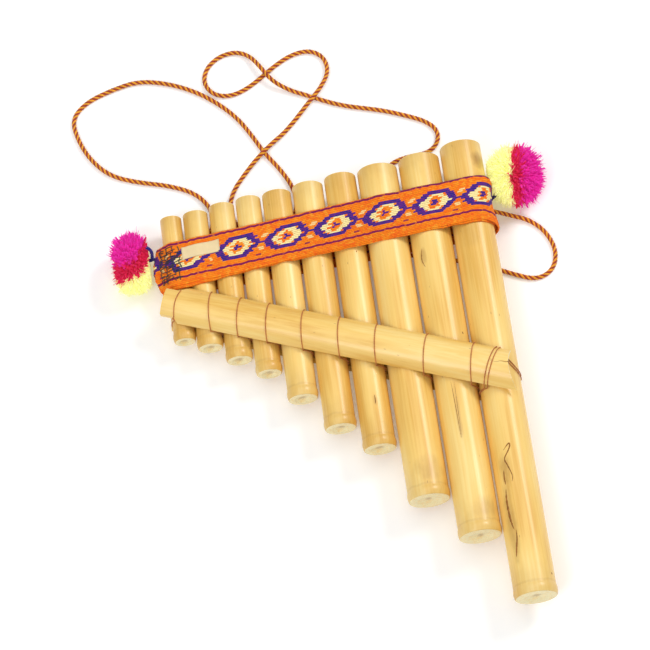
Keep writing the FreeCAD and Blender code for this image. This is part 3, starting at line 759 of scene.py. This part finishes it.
class FLUTE_OT_cane(bpy.types.Operator):
    """Finish the ten pipes and the two split braces as straw-coloured cane"""
    bl_idname = "flute.cane"
    bl_label = "Cane"

    def execute(self, context):
        cane = context.scene.flute_cane
        for number, pipe in PIPES.items():
            self.repaint(pipe.name, pipe_finish(pipe, cane, number))
        front = Vector((0, BRACE_Y, front_seat(0)))
        self.repaint("front_brace", brace_finish("front_brace", cane, front, 40.0, True))
        back = Vector((0, BRACE_Y, 0))
        self.repaint("back_brace", brace_finish("back_brace", cane, back, 60.0, False))
        return {"FINISHED"}

    def repaint(self, node, material):
        for material_slot in NODES[node].material_slots:
            material_slot.material = material


class FLUTE_OT_cane_marks(bpy.types.Operator):
    """Draw the dark insect tracks and fine cracks in the cane's skin"""
    bl_idname = "flute.cane_marks"
    bl_label = "Cane Marks"

    def execute(self, context):
        cane = context.scene.flute_cane
        strands = []
        for number, width, spots in TRACKS:
            pipe = PIPES[number]
            flat = smooth_line("track", [(degrees, height, 0.0) for degrees, height in spots])
            path = [pipe.skin_point(spot.x, spot.y, width * 0.2 * MM)
                    for spot in resampled(flat, 0.5)]
            count = len(path)
            for_width = []
            for k, place in enumerate(path):
                taper = math.sin(math.pi * (k + 0.6) / (count + 0.2)) ** 0.5
                wander = 1 + 0.35 * noise.noise(place * 900)
                for_width.append((place, width * MM / 2 * taper * wander))
            strands.append(for_width)
        strands.append(self.brace_crack())
        material = plain_fibre("track_brown", shade(cane.stain, 0.6), shade(cane.stain, 1.3),
                               0.8, 0.8, 0.0)
        piece("cane_tracks", tubes("cane_tracks", strands), [material], "flute")
        return {"FINISHED"}

    def brace_crack(self):
        """A hairline split that runs in from the front brace's right end."""
        strand = []
        steps = 16
        for k in range(steps + 1):
            x = (69.0 + 10.6 * k / steps) * MM
            y = brace_y(x) + (-0.3 + 2.2 * k / steps + 0.2 * math.sin(k * 0.9)) * MM
            off = (y - brace_y(x)) * math.cos(BRACE_ANGLE)
            top = math.sqrt(BRACE_RADIUS ** 2 - off ** 2) - BRACE_RADIUS + BRACE_HEIGHT
            place = Vector((x, y, front_seat(x) + SEAT_PLAY + top - 0.03 * MM))
            strand.append((place, (0.06 + 0.16 * k / steps) * MM))
        return strand


# --- lashings --------------------------------------------------------------------------------
def brace_edge(x, side):
    """Where a thread at x passes the upper (1) or lower (-1) edge of the braces: its y."""
    half = math.sqrt(BRACE_RADIUS ** 2 - (BRACE_HEIGHT - BRACE_RADIUS) ** 2)
    reach = half + THREAD / 2 + THREAD_PLAY
    return brace_y(x) + side * reach / math.cos(BRACE_ANGLE)


def round_pipe(pipe, side, x, y, slip=0.0):
    """A thread's way round one flank of a pipe, from front to back, slipped towards -y."""
    middle = pipe.along(y)
    middle.z = crossing(pipe).z
    reach = pipe.radius + THREAD / 2 + THREAD_PLAY
    rise = math.sqrt(reach ** 2 - (x - middle.x) ** 2)
    path = arc_points(Vector((x, y, middle.z + rise)),
                      Vector((middle.x + side * reach, y, middle.z)),
                      Vector((x, y, middle.z - rise)))
    return [point - Vector((0, slip * math.sin(math.pi * k / ARC_STEPS) ** 0.7, 0))
            for k, point in enumerate(path)]


def closed_turn(top_x, low_x, top_side, low_side, slip=0.0):
    """One turn round both braces: over the front, down, under the back and up again."""
    over = BRACE_HEIGHT + THREAD / 2 + THREAD_PLAY + SEAT_PLAY
    top_y = brace_edge(top_x, 1)
    low_y = brace_edge(low_x, -1)
    mid_x = (top_x + low_x) / 2
    mid_y = (top_y + low_y) / 2
    path = arc_points(Vector((top_x, top_y, front_seat(top_x))),
                      Vector((mid_x - BOW, mid_y, front_seat(mid_x) + over)),
                      Vector((low_x, low_y, front_seat(low_x))))
    path += round_pipe(*low_side, low_x, low_y)
    path += arc_points(Vector((low_x, low_y, BACK_SEAT)),
                       Vector((mid_x, mid_y, BACK_SEAT - UNDER_BRACE)),
                       Vector((top_x, top_y, BACK_SEAT)))
    path += reversed(round_pipe(*top_side, top_x, top_y, slip))
    return path + path[:2]


def brace_point(along, across, rise):
    """A point on the front brace from its own directions: along it, across it, above its seat."""
    x = math.cos(BRACE_ANGLE) * along - math.sin(BRACE_ANGLE) * across
    y = BRACE_Y + math.sin(BRACE_ANGLE) * along + math.cos(BRACE_ANGLE) * across
    return Vector((x, y, front_seat(x) + SEAT_PLAY + rise))


def notch_turn(pipe):
    """The turn that sits where the front brace's left end is narrowed, and rounds pipe 1."""
    gap = THREAD / 2 + THREAD_PLAY
    high, low = NOTCH_EDGES
    path = [brace_point(NOTCH_ALONG, high + gap, 0)]
    steps = 18
    for k in range(steps + 1):
        across = high + (low - high) * k / steps
        crown = math.sqrt(BRACE_RADIUS ** 2 - across ** 2) - BRACE_RADIUS + BRACE_HEIGHT
        spread = gap * (1 - 2 * k / steps)
        path.append(brace_point(NOTCH_ALONG - BOW * math.sin(math.pi * k / steps),
                                across + spread, crown + gap * 0.8))
    path.append(brace_point(NOTCH_ALONG, low - gap, 0))
    top = path[0]
    bottom = path[-1]
    behind = {}
    for name, x, side in (("top", LEFT_END_XS[0], 1), ("bottom", LEFT_END_XS[1], -1)):
        behind[name] = Vector((x, brace_edge(x, side), BACK_SEAT))
    path += drawn_aside(round_pipe(pipe, -1, bottom.x, bottom.y), behind["bottom"])
    middle = (behind["top"] + behind["bottom"]) / 2
    path += arc_points(behind["bottom"], middle - Vector((0, 0, UNDER_BRACE)), behind["top"])
    path += reversed(drawn_aside(round_pipe(pipe, -1, top.x, top.y), behind["top"]))
    return path + path[:2]


def drawn_aside(path, end):
    """The same path, bent evenly so that it ends above end."""
    shift = end - path[-1]
    return [point + Vector((shift.x, shift.y, 0)) * (k / (len(path) - 1)) ** 2
            for k, point in enumerate(path)]


def gap_x(number, y):
    """Middle of the gap between a pipe and the next one."""
    left = PIPES[number]
    right = PIPES[number + 1]
    return (left.along(y).x + left.radius + right.along(y).x - right.radius) / 2


def flank(number, x, y):
    """Which pipe's flank a thread follows into a gap when it leaves the brace's edge at x."""
    if x < gap_x(number, y):
        return PIPES[number], 1
    return PIPES[number + 1], -1


def gap_turn(number):
    top_shift, low_shift = LASHED_GAPS[number]
    left = PIPES[number]
    near = brace_y(left.mouth.x + left.radius)
    top_x = gap_x(number, near) + top_shift
    low_x = gap_x(number, near) + low_shift
    return closed_turn(top_x, low_x, flank(number, top_x, near), flank(number, low_x, near))


class FLUTE_OT_lashings(bpy.types.Operator):
    """Wind the waxed two-ply threads that tie the braces to the pipes"""
    bl_idname = "flute.lashings"
    bl_label = "Lashings"

    def execute(self, context):
        thread = context.scene.flute_thread
        material = plain_fibre("waxed_thread", thread.wax, thread.worn, 0.35, 0.5, 0.15)
        for number in LASHED_GAPS:
            name = "%02d_%02d" % (number, number + 1)
            self.wind("thread_" + name, "lashing_" + name, [gap_turn(number)], material, thread)
        first = PIPES[1]
        last = PIPES[PIPE_COUNT]
        left = notch_turn(first)
        self.wind("thread_left_end", "lashing_left_end", [left], material, thread, True)
        turns = []
        for k, slip in enumerate(RIGHT_END_SLIPS):
            top_x, low_x = (x - k * WINDING_STEP for x in RIGHT_END_XS)
            turns.append(closed_turn(top_x, low_x, (last, 1), (last, -1), slip))
        self.wind("thread_right_end", "lashing_right_end", turns, material, thread)
        return {"FINISHED"}

    def wind(self, name, node, turns, material, thread, knotted=False):
        strands = []
        for k, path in enumerate(turns):
            even = resampled(path, THREAD_STEP)
            strands += twist(even, 2, THREAD * 0.29, THREAD * 0.23, thread.turn, 0.25, k)
        if knotted:
            edge = brace_point(NOTCH_ALONG, NOTCH_EDGES[1] - 0.6 * MM, 1.0 * MM)
            turned = Matrix.Rotation(0.7, 3, "X")
            strands.append(trefoil(edge, 0.75 * MM, turned, 0.55 * MM))
            tail = [edge, edge + Vector((-0.3, -0.5, -0.2)) * MM,
                    edge + Vector((-0.2, -0.9, -0.9)) * MM]
            strands += twist(resampled(tail, THREAD_STEP), 2, THREAD * 0.28, THREAD * 0.22,
                             thread.turn)
        piece(name, tubes(name, strands, 0), [material], "flute", [node])


# --- band ------------------------------------------------------------------------------------
def band_circles():
    """The pipes' sections under the band, as (middle, radius) with the middle as (x, z)."""
    circles = []
    for pipe in PIPES.values():
        middle = pipe.along(BAND_Y)
        circles.append((Vector((middle.x, middle.z)), pipe.radius + BAND_PLAY))
    return circles


def band_loop(lift, step):
    """A loop drawn tight round the row, as (x, z) points from its left fold over the front."""
    points = []
    for middle, radius in band_circles() + [BAND_FOLD]:
        for k in range(90):
            angle = 2 * math.pi * k / 90
            points.append(middle + Vector((math.cos(angle), math.sin(angle))) * (radius + lift))
    loop = [points[k] for k in convex_hull_2d(points)]
    start = min(range(len(loop)), key=lambda k: loop[k].x)
    loop = loop[start:] + loop[:start + 1]
    if loop[len(loop) // 8].y < loop[0].y:
        loop.reverse()
    return resampled(loop, step)


class BandSurface:
    """A closed loop of band cloth, and where each point of it lies."""

    def __init__(self, lift, step=0.25 * MM):
        self.loop = band_loop(lift, step)
        self.length = sum((b - a).length for a, b in zip(self.loop, self.loop[1:]))
        self.circles = band_circles()
        self.front_middle = self.reach(0.0)

    def reach(self, x):
        """Length of band from the left fold to x on the front."""
        step = self.length / (len(self.loop) - 1)
        for k, point in enumerate(self.loop):
            if point.x >= x:
                return k * step
        raise ValueError("the band doesn't reach x")

    def place(self, along, across, rise):
        """The point at a length along from x = 0 on the front, across the band, above it."""
        share = ((along + self.front_middle) / self.length) % 1.0
        count = len(self.loop) - 1
        index = min(int(share * count), count - 1)
        here = self.loop[index].lerp(self.loop[index + 1], share * count - index)
        tangent = (self.loop[(index + 3) % count] - self.loop[(index - 2) % count]).normalized()
        outward = Vector((-tangent.y, tangent.x))
        spare = min((here - middle).length - radius for middle, radius in self.circles)
        dip = 0.3 * min(max(spare - 0.5 * MM, 0.0), 2.2 * MM)
        here = here + outward * (rise - dip)
        y = BAND_Y + math.tan(BAND_ANGLE) * here.x + across / math.cos(BAND_ANGLE)
        return Vector((here.x, y, here.y))

    def cloth(self, name, size, cells, shape):
        """A rectangle of cloth on this loop: size (start, end, low edge, high edge)."""
        start, end, low, high = size
        bm = bmesh.new()
        weave = bm.loops.layers.uv.new("weave")
        bmesh.ops.create_grid(bm, x_segments=cells[0], y_segments=cells[1], size=0.5)
        flat = {}
        for vert in bm.verts:
            along = start + (end - start) * (vert.co.x + 0.5)
            across = low + (high - low) * (vert.co.y + 0.5)
            flat[vert] = (along, across)
            vert.co = self.place(along, *shape(along, across))
        for face in bm.faces:
            for corner in face.loops:
                along, across = flat[corner.vert]
                corner[weave].uv = (along / MM / UV_SPAN, across / MM / UV_SPAN)
        if end - start > 0.999 * self.length:
            bmesh.ops.remove_doubles(bm, verts=bm.verts, dist=0.02 * MM)
        mesh = bpy.data.meshes.new(name)
        bm.to_mesh(mesh)
        bm.free()
        return mesh


def thickened(made, thickness):
    cloth = made.modifiers.new("thickness", "SOLIDIFY")
    cloth.thickness = thickness
    cloth.offset = -1.0
    cloth.use_even_offset = False


class FLUTE_OT_band(bpy.types.Operator):
    """Weave the patterned band in two layers round the row of pipes"""
    bl_idname = "flute.band"
    bl_label = "Woven Band"

    def execute(self, context):
        band = context.scene.flute_band
        material = band_finish(band)
        half = BAND_WIDTH / 2
        outer = BandSurface(OUTER_LIFT)

        def outer_shape(along, across):
            ridge = abs(math.sin(math.pi * (across / band.row + 0.5)))
            curl = max(0.0, abs(across) - half + 0.8 * MM)
            wander = 0.28 * MM * noise.noise(Vector((along * 120, 0, 3)))
            wander += 0.10 * MM * noise.noise(Vector((along * 700, 0, 9)))
            ripple = 0.12 * MM * noise.noise(Vector((along * 160, across * 90, 0)))
            taller = 1.0 + (0.05 if across > 0 else -0.07) * smooth_share(along, -60 * MM, 20 * MM)
            flare = smooth_share(along, 76 * MM, 92 * MM) * smooth_share(-across, 0, half)
            flare *= 1 - smooth_share(along, 100 * MM, 120 * MM)
            from_fold = min(along + outer.front_middle, outer.length - outer.front_middle - along)
            gather = smooth_share(from_fold, 9 * MM, 0) * (1 - abs(across / half) ** 1.5)
            gather *= 1 + 0.25 * noise.noise(Vector((along * 500, across * 500, 21)))
            raised = smooth_share(along, 74 * MM, 84 * MM) * smooth_share(across, 0, half)
            raised *= 1 - smooth_share(along, 92 * MM, 104 * MM)
            lift = ridge * 0.1 * MM + ripple - curl * 0.4 + 1.8 * MM * flare
            return across * taller + wander * across / half - 2.6 * MM * flare, \
                lift + 2.9 * MM * gather + 1.5 * MM * raised

        def inner_shape(along, across):
            left = smooth_share(along, -25 * MM, -80 * MM)
            right = smooth_share(along, 58 * MM, 84 * MM)
            lower = -1.9 * MM * left - 0.7 * MM * right
            wander = 0.5 * MM * noise.noise(Vector((along * 150, 5, 3)))
            return across + lower + wander * across / half, 0.0

        size = (-outer.front_middle, outer.length - outer.front_middle, -half, half)
        mesh = outer.cloth("woven_band_outer", size, (440, 104), outer_shape)
        top = piece("woven_band_outer", mesh, [material], "flute", ["woven_band"])
        thickened(top, CLOTH)
        inner = BandSurface(INNER_LIFT)
        size = (-inner.front_middle, inner.length - inner.front_middle, -half, half)
        mesh = inner.cloth("woven_band_inner", size, (380, 24), inner_shape)
        under = piece("woven_band_inner", mesh, [material], "flute")
        thickened(under, INNER_LIFT * 0.8)
        return {"FINISHED"}


def smooth_share(value, start, end):
    share = min(max((value - start) / (end - start), 0.0), 1.0)
    return share * share * (3 - 2 * share)


class FLUTE_OT_label(bpy.types.Operator):
    """Sew a small blank cloth label to the band"""
    bl_idname = "flute.label"
    bl_label = "Label"

    def execute(self, context):
        length, width = LABEL_SIZE
        x, above = LABEL_AT
        outer = BandSurface(OUTER_LIFT)

        def shape(along, across):
            curl = 0.35 * MM * smooth_share(along, x + 7 * MM, x + length / 2)
            return across, 0.32 * MM + curl * (across - above) / width * 2 \
                + 0.05 * MM * noise.noise(Vector((along * 300, across * 300, 7)))

        size = (x - length / 2, x + length / 2, above - width / 2, above + width / 2)
        mesh = outer.cloth("label_cloth_piece", size, (60, 22), shape)
        made = piece("label_cloth_piece", mesh, [label_finish(context.scene.flute_band)],
                     "flute", ["band_label"])
        thickened(made, 0.2 * MM)
        return {"FINISHED"}


class FLUTE_OT_stitching(bpy.types.Operator):
    """Sew the dark net of stitches that closes the band at its left end"""
    bl_idname = "flute.stitching"
    bl_label = "Stitching"

    def execute(self, context):
        thread = context.scene.flute_thread
        outer = BandSurface(OUTER_LIFT)
        dice = random.Random(11)
        strands = []
        for x in (-85.4, -82.4, -79.0, -75.6):
            for row in (-9.5, -6.2, -3.0, 0.2, 3.4, 6.6):
                start = Vector((x + dice.uniform(-0.9, 0.9), row + dice.uniform(-0.4, 0.4)))
                end = Vector((x + dice.uniform(-0.9, 0.9), row + 3.4 + dice.uniform(-0.5, 0.5)))
                strands += self.stitch(outer, start, end, thread)
        for k in range(34):
            row = -8.4 + 17.4 * (k % 12) / 11 + dice.uniform(-0.7, 0.7)
            x = -86.5 + 3.9 * (k // 12) + dice.uniform(-0.8, 0.8)
            start = Vector((x, row))
            end = Vector((x + dice.uniform(3.0, 5.2), row + dice.uniform(-0.8, 1.4)))
            strands += self.stitch(outer, start, end, thread)
        material = plain_fibre("sewing_thread", thread.sewing, shade(thread.sewing, 3.0), 0.9,
                               0.7, 0.2)
        piece("net_stitches", tubes("net_stitches", strands, 0), [material], "flute",
              ["band_stitching"])
        return {"FINISHED"}

    def stitch(self, outer, start, end, thread):
        """Dives out of the cloth at start and back into it at end."""
        def gathered(x):
            return 2.4 * smooth_share(x, -79.5, -87.0) * (1 - abs((start.y + end.y) / 24.4) ** 1.5)

        path = []
        steps = 14
        for k in range(steps + 1):
            t = k / steps
            flat = start.lerp(end, t)
            rise = 0.55 * math.sin(math.pi * t) ** 0.5 - 0.22 + gathered(flat.x)
            path.append(outer.place(flat.x * MM, flat.y * MM, rise * MM))
        return twist(resampled(path, 0.3 * MM), 2, 0.15 * MM, 0.12 * MM, thread.turn)


# --- pompoms ---------------------------------------------------------------------------------
def grounded(point):
    """Yarn that would go below the surface lies on it."""
    return Vector((point.x, point.y, max(point.z, FLOOR_CLEARANCE)))


class FLUTE_OT_pompoms(bpy.types.Operator):
    """Fill the two pompoms with cut yarn and tie them to the band"""
    bl_idname = "flute.pompoms"
    bl_label = "Pompoms"

    def execute(self, context):
        yarn = context.scene.flute_yarn
        finishes = {}
        for kind, (name, darker, painted_glow) in WOOL.items():
            tone = getattr(yarn, kind)
            finishes[kind] = plain_fibre(name, tone, shade(tone, darker), 0.5, 0.85, 0.1,
                                         grain=0.12 * MM, painted_glow=painted_glow)
        tie = plain_fibre("tie_wool", yarn.tie, shade(yarn.tie, 0.5), 0.5, 0.8, 0.4)
        for side, shape in POMPOMS.items():
            body = side + "_pompom"
            strands = self.ball(shape, yarn, random.Random(shape["seed"]))
            self.press(strands, shape)
            bright = joined(body + "_bright_yarn", [tubes(kind, strands[kind])
                                                    for kind in ("magenta", "crimson")])
            piece(body + "_bright_yarn", bright, [finishes["magenta"], finishes["crimson"]],
                  body, [body + "_magenta"])
            pale = tubes(body + "_pale_yarn", strands["yellow"])
            piece(body + "_pale_yarn", pale, [finishes["yellow"]], body,
                  [body + "_yellow"])
            self.tie(side, shape["middle"], shape["knot"], tie)
        return {"FINISHED"}

    def ball(self, shape, yarn, dice):
        """Strands of every colour, each from the tie at the middle to its cut end."""
        strands = {kind: [] for kind in WOOL}
        middle = shape["middle"]
        square = shape["square"]
        facing = shape["facing"].normalized()
        golden = math.pi * (3 - math.sqrt(5))
        for k in range(yarn.strands):
            height = 1 - 2 * (k + 0.5) / yarn.strands
            ring = math.sqrt(1 - height * height)
            out = Vector((ring * math.cos(golden * k), ring * math.sin(golden * k), height))
            out = (out + Vector([dice.uniform(-0.09, 0.09) for _ in range(3)])).normalized()
            beyond = out.dot(facing) - shape["parting"] + dice.uniform(-0.07, 0.07)
            kind = "yellow"
            # Magenta strands nearest the parting are drawn in darker crimson yarn: painted shade
            # on the magenta.
            if beyond >= 0:
                shaded_reach = shape["crimson"] + dice.uniform(-0.14, 0.14)
                kind = "crimson" if beyond < shaded_reach else "magenta"
            swell = dice.uniform(-0.10, 0.17 if kind == "magenta" else 0.05)
            reach = Vector([wide * (1 + swell) * way for wide, way in zip(shape["half"], out)])
            flat = (abs(out.x) ** square + abs(out.y) ** square) ** (1 / square) / out.xy.length
            reach.xy = reach.xy / (1 + (flat - 1) * ring)
            if (middle + reach - shape["knot"]).length < KNOT_ROOM:
                continue
            strands[kind].append(self.strand(middle, reach, yarn.yarn / 2, dice))
            for _ in range(WISPS):
                strands[kind].append(self.wisp(middle, reach, dice))
        return strands

    def press(self, strands, shape):
        """Holds the yarn back where the band stands beside the ball."""
        middle = shape["middle"].x
        inward = 1 if shape["knot"].x > middle else -1
        for strand in itertools.chain.from_iterable(strands.values()):
            for place, _ in strand:
                place.x = middle + inward * min((place.x - middle) * inward, shape["room"])

    def strand(self, middle, reach, thickness, dice):
        """One yarn that runs out from the middle, a little bent, and swells at its cut end."""
        bend = Vector([dice.uniform(-0.16, 0.16) for _ in range(3)]) * reach.length
        phase = dice.uniform(0.0, 6.0)
        points = []
        steps = 6
        for k in range(steps + 1):
            t = k / steps
            place = middle + reach * (0.28 + 0.72 * t) + bend * t * (t - 0.4)
            ply = 1 + 0.14 * math.sin(k * 2.4 + phase)
            width = thickness * ply * (0.62 + 0.45 * t)
            if k == steps:
                width *= 0.62
            points.append((grounded(place), width))
        return points

    def wisp(self, middle, reach, dice):
        """A single loose fibre that stands off a strand's cut end."""
        off = Vector([dice.uniform(-0.25, 0.25) for _ in range(3)]) * reach.length
        start = middle + reach * 0.88
        end = middle + reach * (1.0 + dice.uniform(0.0, 0.07)) + off * 0.7
        between = start.lerp(end, 0.5) + off * 0.1
        return [(grounded(start), 0.13 * MM), (grounded(between), 0.10 * MM),
                (grounded(end), 0.04 * MM)]

    def tie(self, side, middle, knot, material):
        """The tie through the ball, its thread to the band, and the knot that it turns about."""
        body = side + "_pompom"
        inward = (knot - middle).normalized()
        start = middle + inward * 3 * MM
        end = knot - inward * 0.85 * MM
        path = resampled([start, end], 0.4 * MM)
        strands = twist(path, 3, 0.5 * MM, 0.5 * MM, 4.6 * MM, 0.2)
        strands += [trefoil(middle, 2.0 * MM, Matrix.Rotation(0.4, 3, "Y"), 1.3 * MM)]
        if side == "left":
            tail = [end, end + Vector((0.6, 1.2, 4.0)) * MM, end + Vector((0.0, 2.6, 7.4)) * MM,
                    end + Vector((-1.6, 3.2, 8.6)) * MM]
            loose = resampled(smooth_line("loose_end", tail), 0.4 * MM)
            strands += twist(loose, 3, 0.5 * MM, 0.45 * MM, 4.6 * MM, 0.2)
        piece(body + "_tie_yarn", tubes(body + "_tie_yarn", strands), [material], body,
              [body + "_tie"])
        loops = [trefoil(knot, 0.62 * MM, Matrix.Rotation(0.3, 3, "X"), 0.62 * MM)]
        onto_band = knot + inward * 2.2 * MM
        loops += twist(resampled([knot, onto_band], 0.3 * MM), 2, 0.42 * MM, 0.36 * MM, 3.2 * MM)
        piece(body + "_knot_yarn", tubes(body + "_knot_yarn", loops), [material], "flute",
              [body + "_knot"])


# --- neck cord -------------------------------------------------------------------------------
def smooth_line(name, route):
    """Points along the smooth curve that has the route's points as its controls."""
    line = bpy.data.curves.new(name, "CURVE")
    line.dimensions = "3D"
    line.resolution_u = 12
    spline = line.splines.new("NURBS")
    spline.points.add(len(route) - 1)
    for spot, place in zip(spline.points, route):
        spot.co = (*place, 1.0)
    spline.order_u = 3
    spline.use_endpoint_u = True
    holder = bpy.data.objects.new(name, line)
    mesh = bpy.data.meshes.new_from_object(holder)
    points = [v.co.copy() for v in mesh.vertices]
    bpy.data.meshes.remove(mesh)
    bpy.data.objects.remove(holder)
    bpy.data.curves.remove(line)
    return points


class FLUTE_OT_neck_cord(bpy.types.Operator):
    """Lay the four-strand twisted neck cord in its loops"""
    bl_idname = "flute.neck_cord"
    bl_label = "Neck Cord"

    def execute(self, context):
        cord = context.scene.flute_cord
        path = resampled(smooth_line("neck_cord_route", CORD_ROUTE), 0.5 * MM)
        strands = twist(path, 4, CORD * 0.235, CORD * 0.27, cord.lay, 0.12)
        mesh = joined("neck_cord", [tubes("amber", strands[0::2]), tubes("rust", strands[1::2])])
        amber = plain_fibre("amber_strand", cord.amber, shade(cord.amber, 0.72), 0.6, 0.7, 0.3)
        rust = plain_fibre("rust_strand", cord.rust, shade(cord.rust, 0.6), 0.6, 0.7, 0.3)
        made = piece("neck_cord", mesh, [amber, rust], "flute", ["strap_cord"])
        return {"FINISHED"}


# --- stage -----------------------------------------------------------------------------------
FOCAL = 155.08                # lens and sensor, in the camera's millimetres
SENSOR = 36.0
WORLD_LIGHT = 0.40
FLOOR_GLOW = 0.13
# Each round lamp: place, width, power and tint.
LIGHTS = {
    "key": ((0.90, 0.55, 1.10), 0.50, 9.1, (1.0, 0.985, 0.96)),
    "top": ((-0.15, 0.15, 1.5), 1.3, 5.5, (1.0, 1.0, 1.0)),
    "fill": ((-0.58, -0.76, 1.15), 0.60, 7.3, (0.98, 0.99, 1.0)),
}


class FLUTE_OT_stage(bpy.types.Operator):
    """Set up the pale floor, the soft lights and the camera"""
    bl_idname = "flute.stage"
    bl_label = "Stage"

    def execute(self, context):
        stage = context.scene.flute_stage
        self.floor(stage)
        for name, (place, size, power, tint) in LIGHTS.items():
            self.light(name, place, size, power, tint)
        world = bpy.data.worlds.new("studio")
        context.scene.world = world
        world.use_nodes = True
        background = world.node_tree.nodes["Background"]
        background.inputs["Color"].default_value = (1.0, 1.0, 1.0, 1.0)
        background.inputs["Strength"].default_value = WORLD_LIGHT
        context.scene.view_settings.view_transform = "Standard"
        self.camera(context, stage)
        return {"FINISHED"}

    def floor(self, stage):
        bm = bmesh.new()
        bmesh.ops.create_grid(bm, x_segments=2, y_segments=2, size=4.0)
        bmesh.ops.translate(bm, verts=bm.verts, vec=(0, 0, -0.05 * MM))
        mesh = bpy.data.meshes.new("floor")
        bm.to_mesh(mesh)
        bm.free()
        finish = Finish("floor_white", Base_Color=stage.floor, Roughness=0.6,
                        Specular_IOR_Level=0.2, Emission_Color=(1.0, 1.0, 1.0),
                        Emission_Strength=FLOOR_GLOW)
        mesh.materials.append(finish.material)
        made = bpy.data.objects.new("floor", mesh)
        bpy.context.scene.collection.objects.link(made)

    def light(self, name, place, size, power, tint):
        lamp = bpy.data.lights.new(name, "AREA")
        lamp.shape = "DISK"
        lamp.size = size
        lamp.energy = power
        lamp.color = tint
        made = bpy.data.objects.new(name, lamp)
        bpy.context.scene.collection.objects.link(made)
        made.location = place
        toward = Vector((0, 0.03, 0.01)) - Vector(place)
        made.rotation_mode = "QUATERNION"
        made.rotation_quaternion = toward.to_track_quat("-Z", "Y")

    def camera(self, context, stage):
        view = bpy.data.cameras.new("camera")
        view.sensor_width = SENSOR
        view.lens = FOCAL
        view.clip_start = 0.05
        view.clip_end = 20.0
        made = bpy.data.objects.new("camera", view)
        context.scene.collection.objects.link(made)
        flat = math.cos(stage.elevation)
        back = Vector((math.sin(stage.azimuth) * flat, -math.cos(stage.azimuth) * flat,
                       math.sin(stage.elevation)))
        level = Vector((math.cos(stage.azimuth), math.sin(stage.azimuth), 0))
        upright = back.cross(level)
        right = level * math.cos(stage.roll) + upright * math.sin(stage.roll)
        up = upright * math.cos(stage.roll) - level * math.sin(stage.roll)
        pose = Matrix((right, up, back)).transposed().to_4x4()
        pose.translation = Vector(stage.focus) + back * stage.distance
        made.matrix_world = pose
        context.scene.camera = made


class FLUTE_PT_panel(bpy.types.Panel):
    """Lists the flute's pieces and their sizes and colours"""
    bl_label = "Pan Flute"
    bl_idname = "FLUTE_PT_panel"
    bl_space_type = "VIEW_3D"
    bl_region_type = "UI"
    bl_category = "Pan Flute"

    def draw(self, context):
        for operator in OPERATORS:
            self.layout.operator(operator.bl_idname)
        for name, group in GROUPS.items():
            box = self.layout.box()
            settings = getattr(context.scene, name)
            for prop in group.__annotations__:
                box.prop(settings, prop)


GROUPS = {
    "flute_cane": CaneSettings,
    "flute_thread": ThreadSettings,
    "flute_band": BandSettings,
    "flute_yarn": YarnSettings,
    "flute_cord": CordSettings,
    "flute_stage": StageSettings,
}
OPERATORS = (
    FLUTE_OT_stage,
    FLUTE_OT_neck_cord,
    FLUTE_OT_cane,
    FLUTE_OT_cane_marks,
    FLUTE_OT_lashings,
    FLUTE_OT_band,
    FLUTE_OT_label,
    FLUTE_OT_stitching,
    FLUTE_OT_pompoms,
)


def register():
    for group in GROUPS.values():
        bpy.utils.register_class(group)
    for name, group in GROUPS.items():
        setattr(bpy.types.Scene, name, PointerProperty(type=group))
    for operator in OPERATORS:
        bpy.utils.register_class(operator)
    bpy.utils.register_class(FLUTE_PT_panel)


def unregister():
    bpy.utils.unregister_class(FLUTE_PT_panel)
    for operator in reversed(OPERATORS):
        bpy.utils.unregister_class(operator)
    for name in GROUPS:
        delattr(bpy.types.Scene, name)
    for group in reversed(list(GROUPS.values())):
        bpy.utils.unregister_class(group)


def main():
    register()
    bpy.ops.flute.stage()
    bpy.ops.flute.neck_cord()
    bpy.ops.flute.cane()
    bpy.ops.flute.cane_marks()
    bpy.ops.flute.lashings()
    bpy.ops.flute.band()
    bpy.ops.flute.label()
    bpy.ops.flute.stitching()
    bpy.ops.flute.pompoms()


if __name__ == "__main__":
    main()
